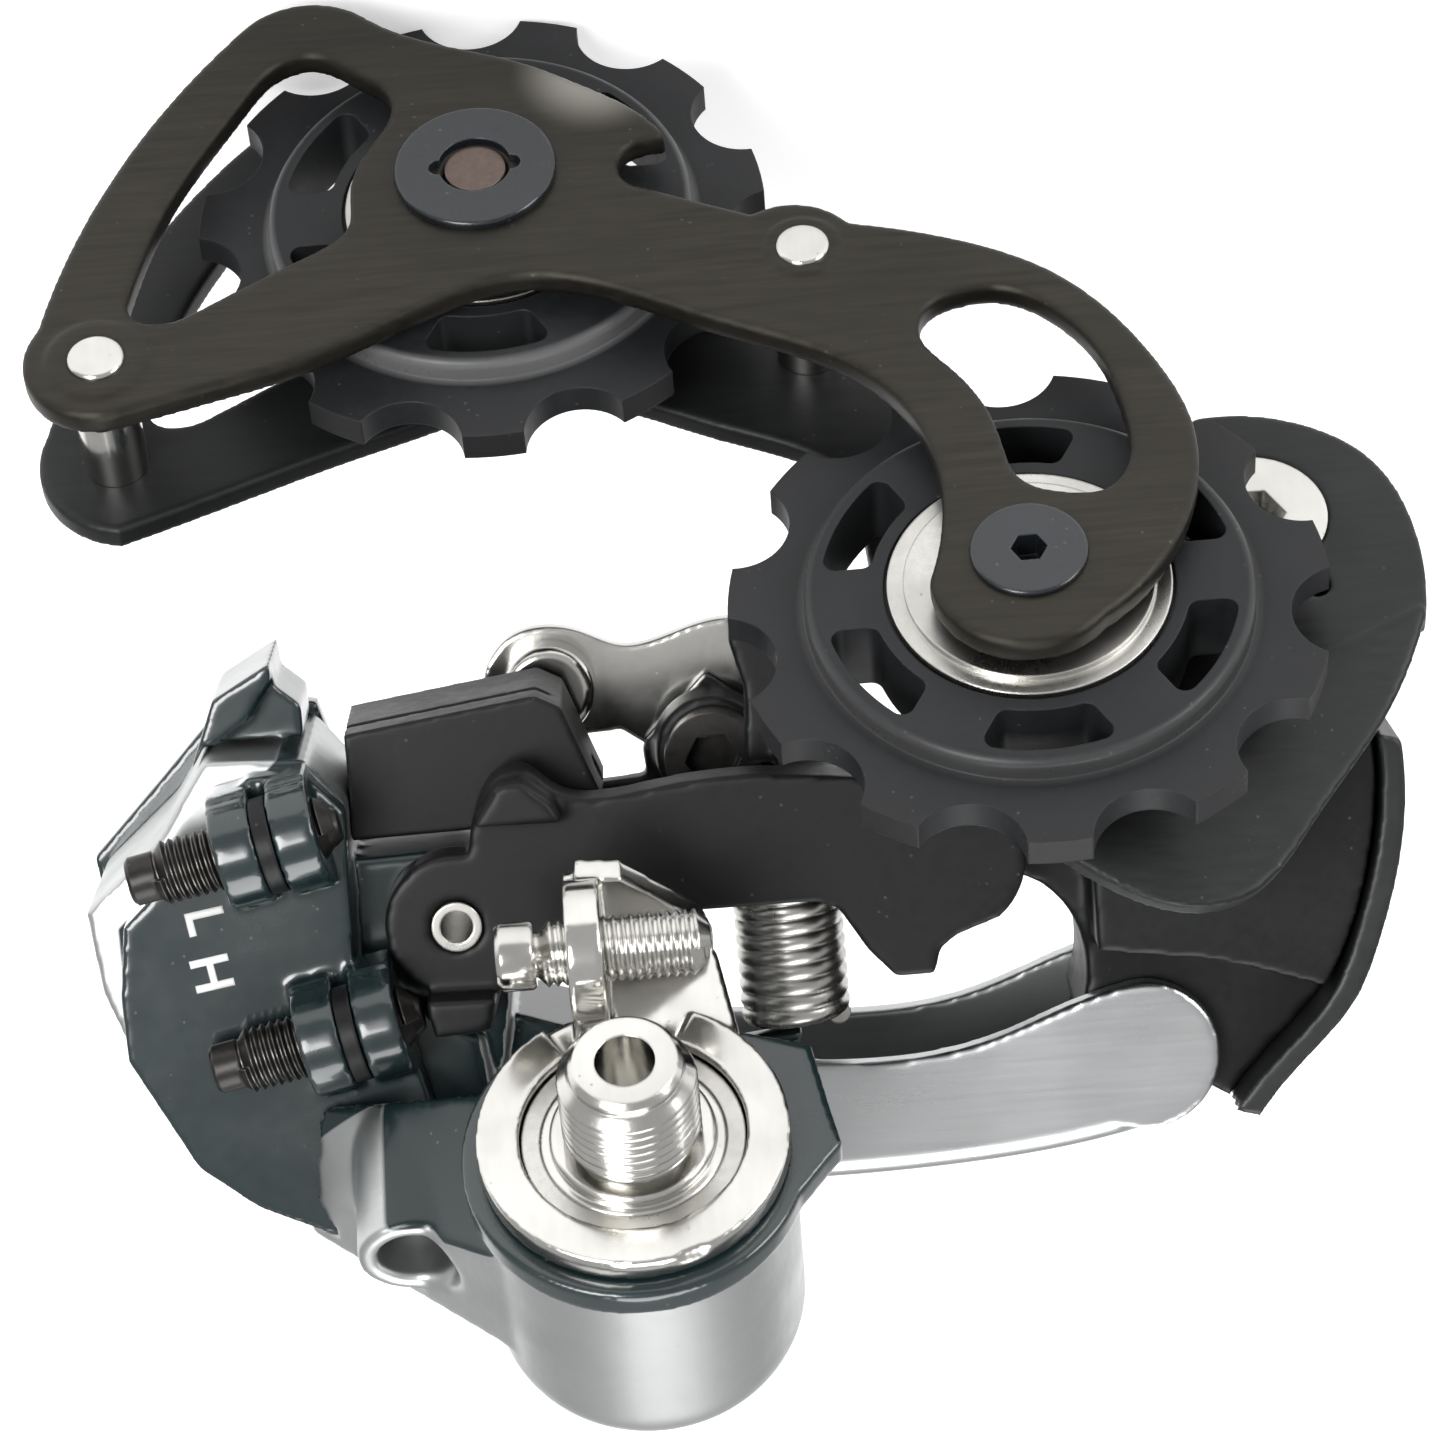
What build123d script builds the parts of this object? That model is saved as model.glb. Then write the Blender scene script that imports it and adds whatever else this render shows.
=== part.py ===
from build123d import *
import os
from math import cos, pi, radians, sin

# A short-cage rear derailleur for a road bicycle.
# Frame: +X forward, +Y inboard (towards the wheel), +Z up, millimetres.
# Origin: on the mounting bolt's axis, at the face of the stop plate that meets the hanger.

# ---- driving dimensions -------------------------------------------------------------------
# chain and jockey pulleys
CHAIN_PITCH = 12.7
PULLEY_TEETH = 11
TIP_OVER_PITCH = 1.06      # tooth tips above the pitch circle
TOOTH_GAP_R = 4.5          # radius of the scallop between two teeth
TOOTH_DEPTH = 3.3
RIM_HALF = 1.35            # half thickness of the teeth
HUB_HALF = 3.4             # half thickness of the hub
HUB_R = 17.6
SLOT_R = 14.4              # middle of the arc slots between the spokes
SLOT_WIDTH = 3.8
SPOKES = 6
SPOKE_WIDTH = 6.0
CAP_R = 11.1
CAP_THICK = 0.6
BUSH_R = 4.6
BOLT_R = 2.5

# cage
CHAIN_LINE = 15.0          # Y of the pulleys' middle plane
CAGE_GAP = 10.4
PLATE = 2.2
GUIDE = (34.1, -35.4)      # X, Z of the guide pulley
TENSION = (-7.0, -80.9)
PIVOT = (53.0, -47.7)      # cage pivot
END_PIN = (-38.2, -63.4)
MID_PIN = (19.1, -69.3)
SPACER_R = 2.65
RIVET_R = 1.6
SKIRT_TILT = 22.0

# fits
RUN_FIT = 0.05             # radial running clearance
SIDE_GAP = 0.3             # side clearance between parts that turn against each other
FLOAT = 0.4                # side float of the guide pulley, each way

# mounting bolt and upper barrel
HANGER_THREAD_R = 5.0
THREAD_LENGTH = 9.4
BOLT_SHANK_R = 6.0
COLLAR_R = 8.6
STOP_PLATE_R = 12.06
STOP_PLATE_THICK = 2.2
BARREL_R = 12.3
BARREL_END = -26.4

# parallelogram, in the plane across its pins: s forward, t inboard and down, d along the pins
PIN_TILT = 50.0
REAR_INNER = (-13.0, 12.0)
REAR_OUTER = (2.0, -6.8)
LINK = (39.5, 1.8)
PIN_R = 2.0
PIN_HOLE_R = 1.3
INNER_TOP = -21.5
OUTER_TOP = -27.0
LINK_BACK = -46.0
INNER_EAR = 4.0
OUTER_EAR = 2.2
EAR_R = 5.75
LUG_R = 5.2

# adjusting screws
SCREW_R = 2.0
LIMIT_TURN = 11.0          # direction of the limit screws in the plane of the links
FACE_TOP = -21.0
FACE_THICK = 3.0
LIMIT_D = FACE_TOP + 2.2
LOW_START = (-38.2, 18.4)
HIGH_START = (-33.1, 2.6)
LIMIT_LENGTH = 17.2
LUG_OUT_R = 4.3
B_SCREW_Y, B_SCREW_Z = 6.5, -12.6

# cable: threaded hole for the adjuster in the rear of the upper knuckle, and the slit block
ADJUSTER = (-18.1, -16.0)  # X, Y of the adjuster's axis
ADJUSTER_TOP = -0.5
ADJUSTER_R = 3.0
ADJUSTER_BOSS_R = 4.6
ADJUSTER_DEEP = 9.0
ADJUSTER_SEAT_R = 3.4  # spot face above the seat
ADJUSTER_CLEAR = 4.0  # its height
CABLE_R = 1.1
CABLE_T, CABLE_D = 21.0, -34.5
STOP_TOP, STOP_LOW = -27.4, -40.0
CLAMP = (8.4, 20.4)        # cable clamp bolt, across the pins
CLAMP_R = 2.5

# return spring
COIL_R = 3.5
COIL_WIRE = 0.5
COIL_S, COIL_D = 13.5, -33.5
COIL_LOW, COIL_HIGH = -0.8, 15.6
COIL_TURNS = 13

# cage pivot
P_BARREL_R = 11.0
P_AXLE_R = 5.0
P_BARREL_END = -20.5

# ---- derived values -----------------------------------------------------------------------
PULLEY_TIP_R = CHAIN_PITCH / (2 * sin(pi / PULLEY_TEETH)) + TIP_OVER_PITCH
INNER_FACE = CHAIN_LINE + CAGE_GAP / 2          # inner plate, side that faces the chain
INNER_TOP_Y = INNER_FACE + PLATE
OUTER_FACE = CHAIN_LINE - CAGE_GAP / 2
OUTER_BACK = OUTER_FACE - PLATE
P_BARREL_TOP = OUTER_BACK - SIDE_GAP
PINS = Vector(0, cos(radians(PIN_TILT)), sin(radians(PIN_TILT)))
FRONT_INNER = (REAR_INNER[0] + LINK[0], REAR_INNER[1] + LINK[1])
FRONT_OUTER = (REAR_OUTER[0] + LINK[0], REAR_OUTER[1] + LINK[1])
INNER_BACK_EAR = LINK_BACK + OUTER_EAR
BLOCK_LOW = INNER_BACK_EAR + SIDE_GAP           # lugs between the ears
REAR_LUG_TOP = INNER_TOP - INNER_EAR - SIDE_GAP
OUTER_LUG_TOP = OUTER_TOP - OUTER_EAR - SIDE_GAP
SKIN_IN = LUG_R + SIDE_GAP
SKIN_OUT = SKIN_IN + 1.4


def side(y):
    """Plane across Y: its x is X, its y is Z, and a positive extrusion goes outboard."""
    return Plane(origin=(0, y, 0), x_dir=(1, 0, 0), z_dir=(0, -1, 0))


def across(d):
    """Plane across the link pins: its x is s, its y is t, and a positive extrusion goes inboard."""
    return Plane(origin=PINS * d, x_dir=(1, 0, 0), z_dir=PINS)


def cable_plane(s):
    """Plane across the cable's path through the upper knuckle."""
    origin = across(CABLE_D).from_local_coords((s, CABLE_T, 0))
    return Plane(origin=origin, x_dir=PINS, z_dir=(1, 0, 0))


def near(centre, dx, dz):
    """A point given by its distance from a named centre."""
    return (centre[0] + dx, centre[1] + dz)


def ring(plane, centre, outer, inner, length):
    """A plain ring or disc that grows along the plane's normal."""
    with BuildPart() as piece:
        with BuildSketch(plane):
            with Locations(centre):
                Circle(outer)
                if inner:
                    Circle(inner, mode=Mode.SUBTRACT)
        extrude(amount=length)
    return piece


def save(piece, name):
    piece.part.label = name
    export_step(piece.part, f"parts/{name}.step")


os.makedirs("parts", exist_ok=True)

# ==== jockey pulleys ========================================================================


def pulley(centre):
    with BuildPart() as wheel:
        with BuildSketch(side(CHAIN_LINE + RIM_HALF)):
            with Locations(centre):
                Circle(PULLEY_TIP_R)
                gap_centre = PULLEY_TIP_R - TOOTH_DEPTH + TOOTH_GAP_R
                with PolarLocations(gap_centre, PULLEY_TEETH, start_angle=90 + 180 / PULLEY_TEETH):
                    Circle(TOOTH_GAP_R, mode=Mode.SUBTRACT)
        extrude(amount=2 * RIM_HALF)
        with BuildSketch(side(CHAIN_LINE + HUB_HALF)):
            with Locations(centre):
                Circle(HUB_R)
        extrude(amount=2 * HUB_HALF)
        fillet(wheel.edges().filter_by(GeomType.CIRCLE).filter_by(
            lambda e: abs(e.radius - HUB_R) < 0.01 and abs(abs(e.center().Y - CHAIN_LINE) - HUB_HALF) < 0.01), 0.8)
        with BuildSketch(side(CHAIN_LINE + HUB_HALF)) as openings:
            with Locations(centre):
                Circle(SLOT_R + SLOT_WIDTH / 2)
                Circle(SLOT_R - SLOT_WIDTH / 2, mode=Mode.SUBTRACT)
                with PolarLocations(SLOT_R, SPOKES):
                    Rectangle(2 * SLOT_WIDTH, SPOKE_WIDTH, mode=Mode.SUBTRACT)
            fillet(openings.vertices(), 1.0)
            with Locations(centre):
                Circle(BUSH_R + RUN_FIT)
        extrude(amount=2 * HUB_HALF, mode=Mode.SUBTRACT)
        for face_side in (1, -1):
            with BuildSketch(side(CHAIN_LINE + face_side * HUB_HALF)):
                with Locations(centre):
                    Circle(CAP_R + 0.3)
            extrude(amount=face_side * 0.5, mode=Mode.SUBTRACT)
    return wheel


def bush(centre, length):
    with BuildPart() as tube:
        with BuildSketch(side(CHAIN_LINE + length / 2)):
            with Locations(centre):
                Circle(BUSH_R)
                Circle(BOLT_R + RUN_FIT, mode=Mode.SUBTRACT)
        extrude(amount=length)
    return tube


def dust_cap(centre, face_side):
    """Dished steel washer that covers one face of a pulley's hub."""
    inner_y = CHAIN_LINE + face_side * (HUB_HALF - 0.5 + 0.15)
    with BuildPart() as cap:
        with BuildSketch(side(inner_y + face_side * CAP_THICK)):
            with Locations(centre):
                Circle(CAP_R)
                Circle(BUSH_R, mode=Mode.SUBTRACT)
        extrude(amount=face_side * CAP_THICK)
        with BuildSketch(side(inner_y + face_side * (CAP_THICK + 0.5))):
            with Locations(centre):
                Circle(CAP_R - 1.3)
                Circle(BUSH_R, mode=Mode.SUBTRACT)
        extrude(amount=face_side * 0.5)
    return cap


guide_pulley = pulley(GUIDE)
save(guide_pulley, "guide_pulley")
tension_pulley = pulley(TENSION)
save(tension_pulley, "tension_pulley")
guide_bush = bush(GUIDE, CAGE_GAP - 2 * FLOAT)
save(guide_bush, "guide_bush")
tension_bush = bush(TENSION, CAGE_GAP)
save(tension_bush, "tension_bush")
save(dust_cap(GUIDE, 1), "guide_cap_inner")
save(dust_cap(GUIDE, -1), "guide_cap_outer")
save(dust_cap(TENSION, 1), "tension_cap_inner")
save(dust_cap(TENSION, -1), "tension_cap_outer")

with BuildPart() as guide_bolt:
    with BuildSketch(side(INNER_TOP_Y + 0.5)):
        with Locations(GUIDE):
            Circle(4.6)
    extrude(amount=0.5)
    fillet(guide_bolt.edges().sort_by(Axis.Y)[-1:], 0.3)
    with BuildSketch(side(INNER_TOP_Y)):
        with Locations(GUIDE):
            Circle(BOLT_R)
    extrude(amount=2 * PLATE + CAGE_GAP)
    with BuildSketch(side(INNER_TOP_Y + 0.5)):
        with Locations(GUIDE):
            RegularPolygon(1.45, 6, major_radius=True)
    extrude(amount=2.4, mode=Mode.SUBTRACT)
save(guide_bolt, "guide_bolt")

with BuildPart() as tension_bolt:
    with BuildSketch(side(INNER_TOP_Y + 0.3)):
        with Locations(TENSION):
            Circle(BOLT_R)
    extrude(amount=2 * PLATE + CAGE_GAP + 0.3)
    with BuildSketch(side(OUTER_BACK)):
        with Locations(TENSION):
            Circle(4.6)
    extrude(amount=1.6)
    with BuildSketch(side(OUTER_BACK - 1.6)):
        with Locations(TENSION):
            RegularPolygon(1.45, 6, major_radius=True)
    extrude(amount=-2.2, mode=Mode.SUBTRACT)
save(tension_bolt, "tension_bolt")

with BuildPart() as tension_flange_nut:
    with BuildSketch(side(INNER_TOP_Y + 0.8)):
        with Locations(TENSION):
            Circle(6.67)
            Circle(3.0, mode=Mode.SUBTRACT)
            with PolarLocations(3.0, 2):
                Circle(0.8, mode=Mode.SUBTRACT)
    extrude(amount=0.8)
    fillet(tension_flange_nut.edges().group_by(Axis.Y)[-1].filter_by(
        lambda e: e.length > 30), 0.35)
save(tension_flange_nut, "tension_flange_nut")

# ==== cage ==================================================================================


def spacer(centre, head_r, head_up):
    """Riveted distance pin: a thick middle, thin ends through the plates, low heads outside."""
    with BuildPart() as pin:
        with BuildSketch(side(INNER_FACE)):
            with Locations(centre):
                Circle(SPACER_R)
        extrude(amount=CAGE_GAP)
        with BuildSketch(side(INNER_TOP_Y)):
            with Locations(centre):
                Circle(RIVET_R)
        extrude(amount=2 * PLATE + CAGE_GAP)
        with BuildSketch(side(INNER_TOP_Y + head_up)):
            with Locations(centre):
                Circle(head_r)
        extrude(amount=head_up)
        fillet(pin.edges().sort_by(Axis.Y)[-1:], head_up * 0.7)
        with BuildSketch(side(OUTER_BACK)):
            with Locations(centre):
                Circle(head_r)
        extrude(amount=head_up)
        fillet(pin.edges().sort_by(Axis.Y)[:1], head_up * 0.7)
    return pin


save(spacer(END_PIN, 2.35, 0.6), "cage_end_spacer")
save(spacer(MID_PIN, 2.2, 0.5), "cage_mid_spacer")


def window():
    """Three-sided window between the end pin, the plate's low corner and the tension pulley."""
    Spline(near(END_PIN, 2.5, -6.2), near(TENSION, -25.3, 0.8), near(TENSION, -18.8, -10.8),
           near(TENSION, -15.8, -14.4), near(TENSION, -13.2, -15.0), near(TENSION, -9.4, -12.4),
           near(TENSION, -6.9, -9.9), near(TENSION, -6.8, -7.6), near(TENSION, -9.4, -2.7),
           near(TENSION, -10.4, 1.4), near(TENSION, -10.7, 5.0), near(TENSION, -14.1, 7.8),
           near(END_PIN, 8.7, -5.0), near(END_PIN, 5.4, -3.6), near(END_PIN, 3.2, -4.2),
           periodic=True)


with BuildPart() as cage_inner_plate:
    with BuildSketch(side(INNER_TOP_Y)) as inner_outline:
        with BuildLine():
            ThreePointArc(near(END_PIN, 1.4, 5.8), near(END_PIN, -5.9, 0.8), near(END_PIN, -4.8, -4.0))
            ThreePointArc(near(END_PIN, -4.8, -4.0), near(TENSION, -29.2, -4.3),
                          near(TENSION, -19.4, -18.4))
            ThreePointArc(near(TENSION, -19.4, -18.4), near(TENSION, -13.8, -21.3),
                          near(TENSION, -8.2, -18.8))
            Spline(near(TENSION, -8.2, -18.8), near(TENSION, -2.5, -15.3), near(TENSION, 4.2, -12.4),
                   near(TENSION, 9.1, -9.2), near(TENSION, 12.5, -6.6), near(TENSION, 15.9, -2.3))
            Line(near(TENSION, 15.9, -2.3), near(TENSION, 13.9, -2.0))
            ThreePointArc(near(TENSION, 13.9, -2.0), near(TENSION, 11.7, 0.0), near(TENSION, 13.4, 3.1))
            Line(near(TENSION, 13.4, 3.1), near(MID_PIN, -3.9, -4.3))
            ThreePointArc(near(MID_PIN, -3.9, -4.3), near(MID_PIN, 0.5, -4.9), near(MID_PIN, 3.9, -2.5))
            Spline(near(MID_PIN, 3.9, -2.5), near(GUIDE, -3.0, -33.8), near(GUIDE, 4.6, -29.4),
                   near(GUIDE, 11.6, -19.7), near(GUIDE, 14.2, -10.9), near(GUIDE, 12.3, -1.7),
                   near(GUIDE, 5.2, 6.7))
            ThreePointArc(near(GUIDE, 5.2, 6.7), near(GUIDE, -1.7, 9.1), near(GUIDE, -7.9, 2.0))
            Spline(near(GUIDE, -7.9, 2.0), near(GUIDE, -6.5, -3.2), near(GUIDE, -6.2, -8.6),
                   near(GUIDE, -8.1, -15.8), near(MID_PIN, 1.9, 12.1), near(MID_PIN, -7.3, 7.0),
                   near(TENSION, 7.9, 12.9), near(TENSION, 2.5, 12.0), near(TENSION, -3.5, 13.8),
                   near(END_PIN, 17.0, 1.4), near(END_PIN, 8.2, 4.0), near(END_PIN, 1.4, 5.8))
        make_face()
        with BuildLine():
            window()
        make_face(mode=Mode.SUBTRACT)
        with BuildLine():
            Spline(near(GUIDE, -6.4, -24.4), near(GUIDE, -5.2, -26.7), near(GUIDE, -2.9, -27.7),
                   near(GUIDE, 0.2, -27.8), near(GUIDE, 4.9, -24.5), near(GUIDE, 7.4, -20.4),
                   near(GUIDE, 8.9, -13.4), near(GUIDE, 8.4, -7.9), near(GUIDE, 6.6, -5.9),
                   near(GUIDE, 3.5, -5.9), near(GUIDE, 0.4, -7.3), near(GUIDE, -1.1, -12.3),
                   near(GUIDE, -2.5, -16.9), near(GUIDE, -4.6, -20.3), periodic=True)
        make_face(mode=Mode.SUBTRACT)
        with Locations(END_PIN, MID_PIN):
            Circle(RIVET_R, mode=Mode.SUBTRACT)
        with Locations(GUIDE, TENSION):
            Circle(BOLT_R, mode=Mode.SUBTRACT)
    extrude(amount=PLATE)
    with BuildSketch(side(INNER_TOP_Y + 0.35)):
        with Locations(END_PIN):
            Circle(4.1)
            Circle(2.35, mode=Mode.SUBTRACT)
        with Locations(MID_PIN):
            Circle(3.1)
            Circle(2.2, mode=Mode.SUBTRACT)
    extrude(amount=0.35)
save(cage_inner_plate, "cage_inner_plate")

CREASE_A = near(PIVOT, 12.5, 11.7)
CREASE_B = near(GUIDE, -2.3, 16.6)
crease_along = Vector(CREASE_B[0] - CREASE_A[0], 0, CREASE_B[1] - CREASE_A[1])
crease_length = crease_along.length
crease_along = crease_along.normalized()
crease_away = Vector(crease_along.Z, 0, -crease_along.X)
skirt_down = (crease_away * cos(radians(SKIRT_TILT))
              + Vector(0, -1, 0) * sin(radians(SKIRT_TILT)))
skirt_plane = Plane(origin=(CREASE_A[0], OUTER_FACE, CREASE_A[1]), x_dir=crease_along,
                    z_dir=crease_along.cross(skirt_down))

with BuildPart() as cage_outer_plate:
    with BuildSketch(side(OUTER_FACE)):
        with BuildLine():
            ThreePointArc(near(END_PIN, 0.1, 7.3), near(END_PIN, -6.4, 0.7), near(END_PIN, -5.9, -3.6))
            ThreePointArc(near(END_PIN, -5.9, -3.6), near(TENSION, -30.0, -4.3),
                          near(TENSION, -19.4, -18.4))
            ThreePointArc(near(TENSION, -19.4, -18.4), near(TENSION, -13.8, -21.3),
                          near(TENSION, -8.2, -18.8))
            Spline(near(TENSION, -8.2, -18.8), near(TENSION, 1.5, -13.0), near(TENSION, 9.5, -7.5),
                   near(TENSION, 12.5, 0.0), near(TENSION, 17.0, 5.0), near(MID_PIN, -3.9, -4.3))
            ThreePointArc(near(MID_PIN, -3.9, -4.3), near(MID_PIN, 0.8, -5.4), near(MID_PIN, 4.6, -2.6))
            Spline(near(MID_PIN, 4.6, -2.6), near(GUIDE, -6.5, -26.5), near(GUIDE, 3.9, -21.8),
                   near(PIVOT, -2.8, -11.0))
            Spline(near(PIVOT, -2.8, -11.0), near(PIVOT, 4.3, -9.9), near(PIVOT, 10.1, -5.6),
                   near(PIVOT, 12.5, 0.0), CREASE_A)
            Line(CREASE_A, CREASE_B)
            Spline(CREASE_B, near(GUIDE, -8.0, 9.0), near(GUIDE, -11.0, -2.0),
                   near(GUIDE, -12.0, -13.0), near(MID_PIN, 1.3, 13.1), near(MID_PIN, -8.0, 7.2),
                   near(TENSION, 11.2, 15.2), near(TENSION, 3.0, 13.3), near(TENSION, -5.3, 15.4),
                   near(END_PIN, 19.9, -0.1), near(END_PIN, 7.2, 4.7), near(END_PIN, 0.1, 7.3))
        make_face()
        with BuildLine():
            window()
        make_face(mode=Mode.SUBTRACT)
        with Locations(END_PIN, MID_PIN):
            Circle(RIVET_R, mode=Mode.SUBTRACT)
        with Locations(GUIDE, TENSION):
            Circle(BOLT_R, mode=Mode.SUBTRACT)
        with Locations(PIVOT):
            Circle(6.2, mode=Mode.SUBTRACT)
            with Locations((4.4, 7.7)):
                Circle(1.0, mode=Mode.SUBTRACT)
            with PolarLocations(13.2, 1, start_angle=100):
                Circle(1.5, mode=Mode.SUBTRACT)
    extrude(amount=PLATE)
    with BuildSketch(skirt_plane):
        with BuildLine():
            Line((0, -1.0), (0, 0))
            Spline((0, 0), (0.19 * crease_length, 5.6), (0.44 * crease_length, 10.2),
                   (0.67 * crease_length, 13.2), (0.74 * crease_length, 12.6),
                   (0.91 * crease_length, 6.6), (crease_length, 0))
            Line((crease_length, 0), (crease_length, -1.0))
            Line((crease_length, -1.0), (0, -1.0))
        make_face()
    extrude(amount=-PLATE)
save(cage_outer_plate, "cage_outer_plate")

with BuildPart() as cage_stop_pin:
    with BuildSketch(side(OUTER_FACE)):
        with Locations(PIVOT):
            with PolarLocations(13.2, 1, start_angle=100):
                Circle(1.5)
    extrude(amount=PLATE + 3.9)
save(cage_stop_pin, "cage_stop_pin")

# ==== lower knuckle and cage pivot ==========================================================

# front wall of the lower knuckle, in the plane across the pins, from its low corner upward
WALL = ((50.2, -10.2), (54.9, -5.1), (58.5, -1.2), (60.8, 3.7), (62.4, 8.7), (63.4, 14.0), (63.4, 20.0))
WALL_THICK = 2.0


def wall_line(inward):
    return [(x - inward * 0.95, z + inward * 0.3) for x, z in WALL]


with BuildPart() as p_knuckle_body:
    with BuildSketch(across(BLOCK_LOW)):
        with BuildLine():
            inside = wall_line(WALL_THICK)
            Spline(*inside)
            Line(inside[-1], (56.0, 26.0))
            Line((56.0, 26.0), (46.0, 24.5))
            Spline((46.0, 24.5), (37.0, 18.6), (30.5, 17.6), (24.0, 17.2))
            Line((24.0, 17.2), (24.0, 10.6))
            Line((24.0, 10.6), (32.5, 10.4))
            Spline((32.5, 10.4), (36.6, 6.2), (37.2, 1.5), (36.2, -2.0))
            Line((36.2, -2.0), inside[0])
        make_face()
        with Locations(FRONT_INNER):
            Circle(LUG_R)
        with Locations(FRONT_OUTER):
            Circle(LUG_R)
    extrude(amount=OUTER_LUG_TOP - BLOCK_LOW)
    with BuildSketch(across(OUTER_LUG_TOP)):
        with BuildLine():
            Line((38.0, 4.5), (47.5, 3.0))
            upper = [point for point in wall_line(WALL_THICK + 0.4) if point[1] > 0]
            Line((47.5, 3.0), (56.2, 0.0))
            Spline((56.2, 0.0), *upper)
            Line(upper[-1], (56.0, 26.0))
            Line((56.0, 26.0), (46.0, 24.5))
            Line((46.0, 24.5), (38.0, 18.6))
            Line((38.0, 18.6), (38.0, 4.5))
        make_face()
    extrude(amount=4.0)
    with BuildSketch(across(OUTER_LUG_TOP)):
        with Locations(FRONT_INNER):
            Circle(LUG_R)
    extrude(amount=REAR_LUG_TOP - OUTER_LUG_TOP)
    with BuildSketch(side(P_BARREL_TOP)):
        with Locations(PIVOT):
            Circle(P_BARREL_R)
    extrude(amount=P_BARREL_TOP - P_BARREL_END)
    with BuildSketch(side(5.6)):
        with Locations(PIVOT):
            with PolarLocations(13.2, 1, start_angle=84.5):
                Circle(1.6)
            with PolarLocations(10.5, 1, start_angle=84.5):
                Rectangle(5.0, 3.0)
    extrude(amount=6.0)
    # spring chamber, axle hole and cap seat
    with BuildSketch(side(P_BARREL_TOP)):
        with Locations(PIVOT):
            Circle(9.3)
    extrude(amount=P_BARREL_TOP + 12.0, mode=Mode.SUBTRACT)
    with BuildSketch(side(0)):
        with Locations(PIVOT):
            Circle(P_AXLE_R + 1.2)
    extrude(amount=30.0, mode=Mode.SUBTRACT)
    with BuildSketch(side(P_BARREL_END + 4.0)):
        with Locations(PIVOT):
            Circle(8.0)
    extrude(amount=10.0, mode=Mode.SUBTRACT)
    with BuildSketch(side(P_BARREL_END)):
        with Locations(PIVOT):
            Circle(P_BARREL_R)
    extrude(amount=12.0, mode=Mode.SUBTRACT)
    with BuildSketch(across(-60)):
        with Locations(FRONT_INNER, FRONT_OUTER):
            Circle(PIN_R)
    extrude(amount=50, mode=Mode.SUBTRACT)
save(p_knuckle_body, "p_knuckle_body")

with BuildPart() as p_knuckle_cover:
    with BuildSketch(across(LINK_BACK)):
        with BuildLine():
            outside = wall_line(0)
            inside = wall_line(WALL_THICK)
            Spline(*outside)
            Line(outside[-1], inside[-1])
            Spline(*inside)
            Line(inside[0], outside[0])
        make_face()
    extrude(amount=-25.0 - LINK_BACK)
    with BuildSketch(side(20)):
        with Locations(PIVOT):
            Circle(P_BARREL_R)
    extrude(amount=60, mode=Mode.SUBTRACT)
save(p_knuckle_cover, "p_knuckle_cover")

with BuildPart() as p_axle:
    with BuildSketch(side(OUTER_FACE)):
        with Locations(PIVOT):
            Circle(6.2)
    extrude(amount=PLATE + SIDE_GAP)
    with BuildSketch(side(OUTER_FACE - PLATE - SIDE_GAP)):
        with Locations(PIVOT):
            Circle(P_AXLE_R)
    extrude(amount=OUTER_FACE - PLATE - SIDE_GAP - P_BARREL_END - 1.2)
    with BuildSketch(side(OUTER_FACE)):
        with Locations(PIVOT):
            RegularPolygon(2.9, 6, major_radius=True)
    extrude(amount=4.0, mode=Mode.SUBTRACT)
    with BuildSketch(side(P_BARREL_END + 3.4)):
        with Locations(PIVOT):
            Circle(P_AXLE_R + 1)
            Circle(P_AXLE_R - 0.7, mode=Mode.SUBTRACT)
    extrude(amount=0.8, mode=Mode.SUBTRACT)
save(p_axle, "p_axle")

P_BUSH_TOP = -12.0
save(ring(side(P_BUSH_TOP), PIVOT, P_AXLE_R + 1.2, P_AXLE_R + RUN_FIT,
          P_BUSH_TOP - P_BARREL_END - 4.0), "p_bush")
save(ring(side(P_BARREL_END + 3.4), PIVOT, P_AXLE_R + 1.6, P_AXLE_R - 0.7, 0.8), "p_axle_circlip")
save(ring(side(P_BARREL_TOP - 0.2), PIVOT, 9.3, 8.1, 1.6), "p_seal_ring")

with BuildPart() as p_end_cap:
    with BuildSketch(side(P_BARREL_END + 1.0)):
        with Locations(PIVOT):
            Circle(8.0)
    extrude(amount=1.0)
    with BuildSketch(side(P_BARREL_END)):
        with Locations(PIVOT):
            Circle(P_BARREL_R - 0.4)
    extrude(amount=1.2)
    fillet(p_end_cap.edges().sort_by(Axis.Y)[:1], 0.8)
save(p_end_cap, "p_end_cap")


def wound(start, direction, radius, wire, height, turns):
    """Close-wound coil that grows from its start along a direction."""
    with BuildPart() as coil:
        with BuildLine():
            path = Helix(pitch=height / turns, height=height, radius=radius, center=start,
                         direction=direction)
        with BuildSketch(Plane(origin=path @ 0, z_dir=path % 0)):
            Circle(wire)
        sweep(path=path, is_frenet=True)
    return coil


P_SPRING_WIRE = 0.9
p_spring = wound((PIVOT[0], P_BARREL_TOP - 3.2, PIVOT[1]), (0, -1, 0), 7.4, P_SPRING_WIRE, 13.0, 6)
save(p_spring, "p_spring")

# ==== mounting bolt, stop plate and upper barrel ============================================

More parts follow.
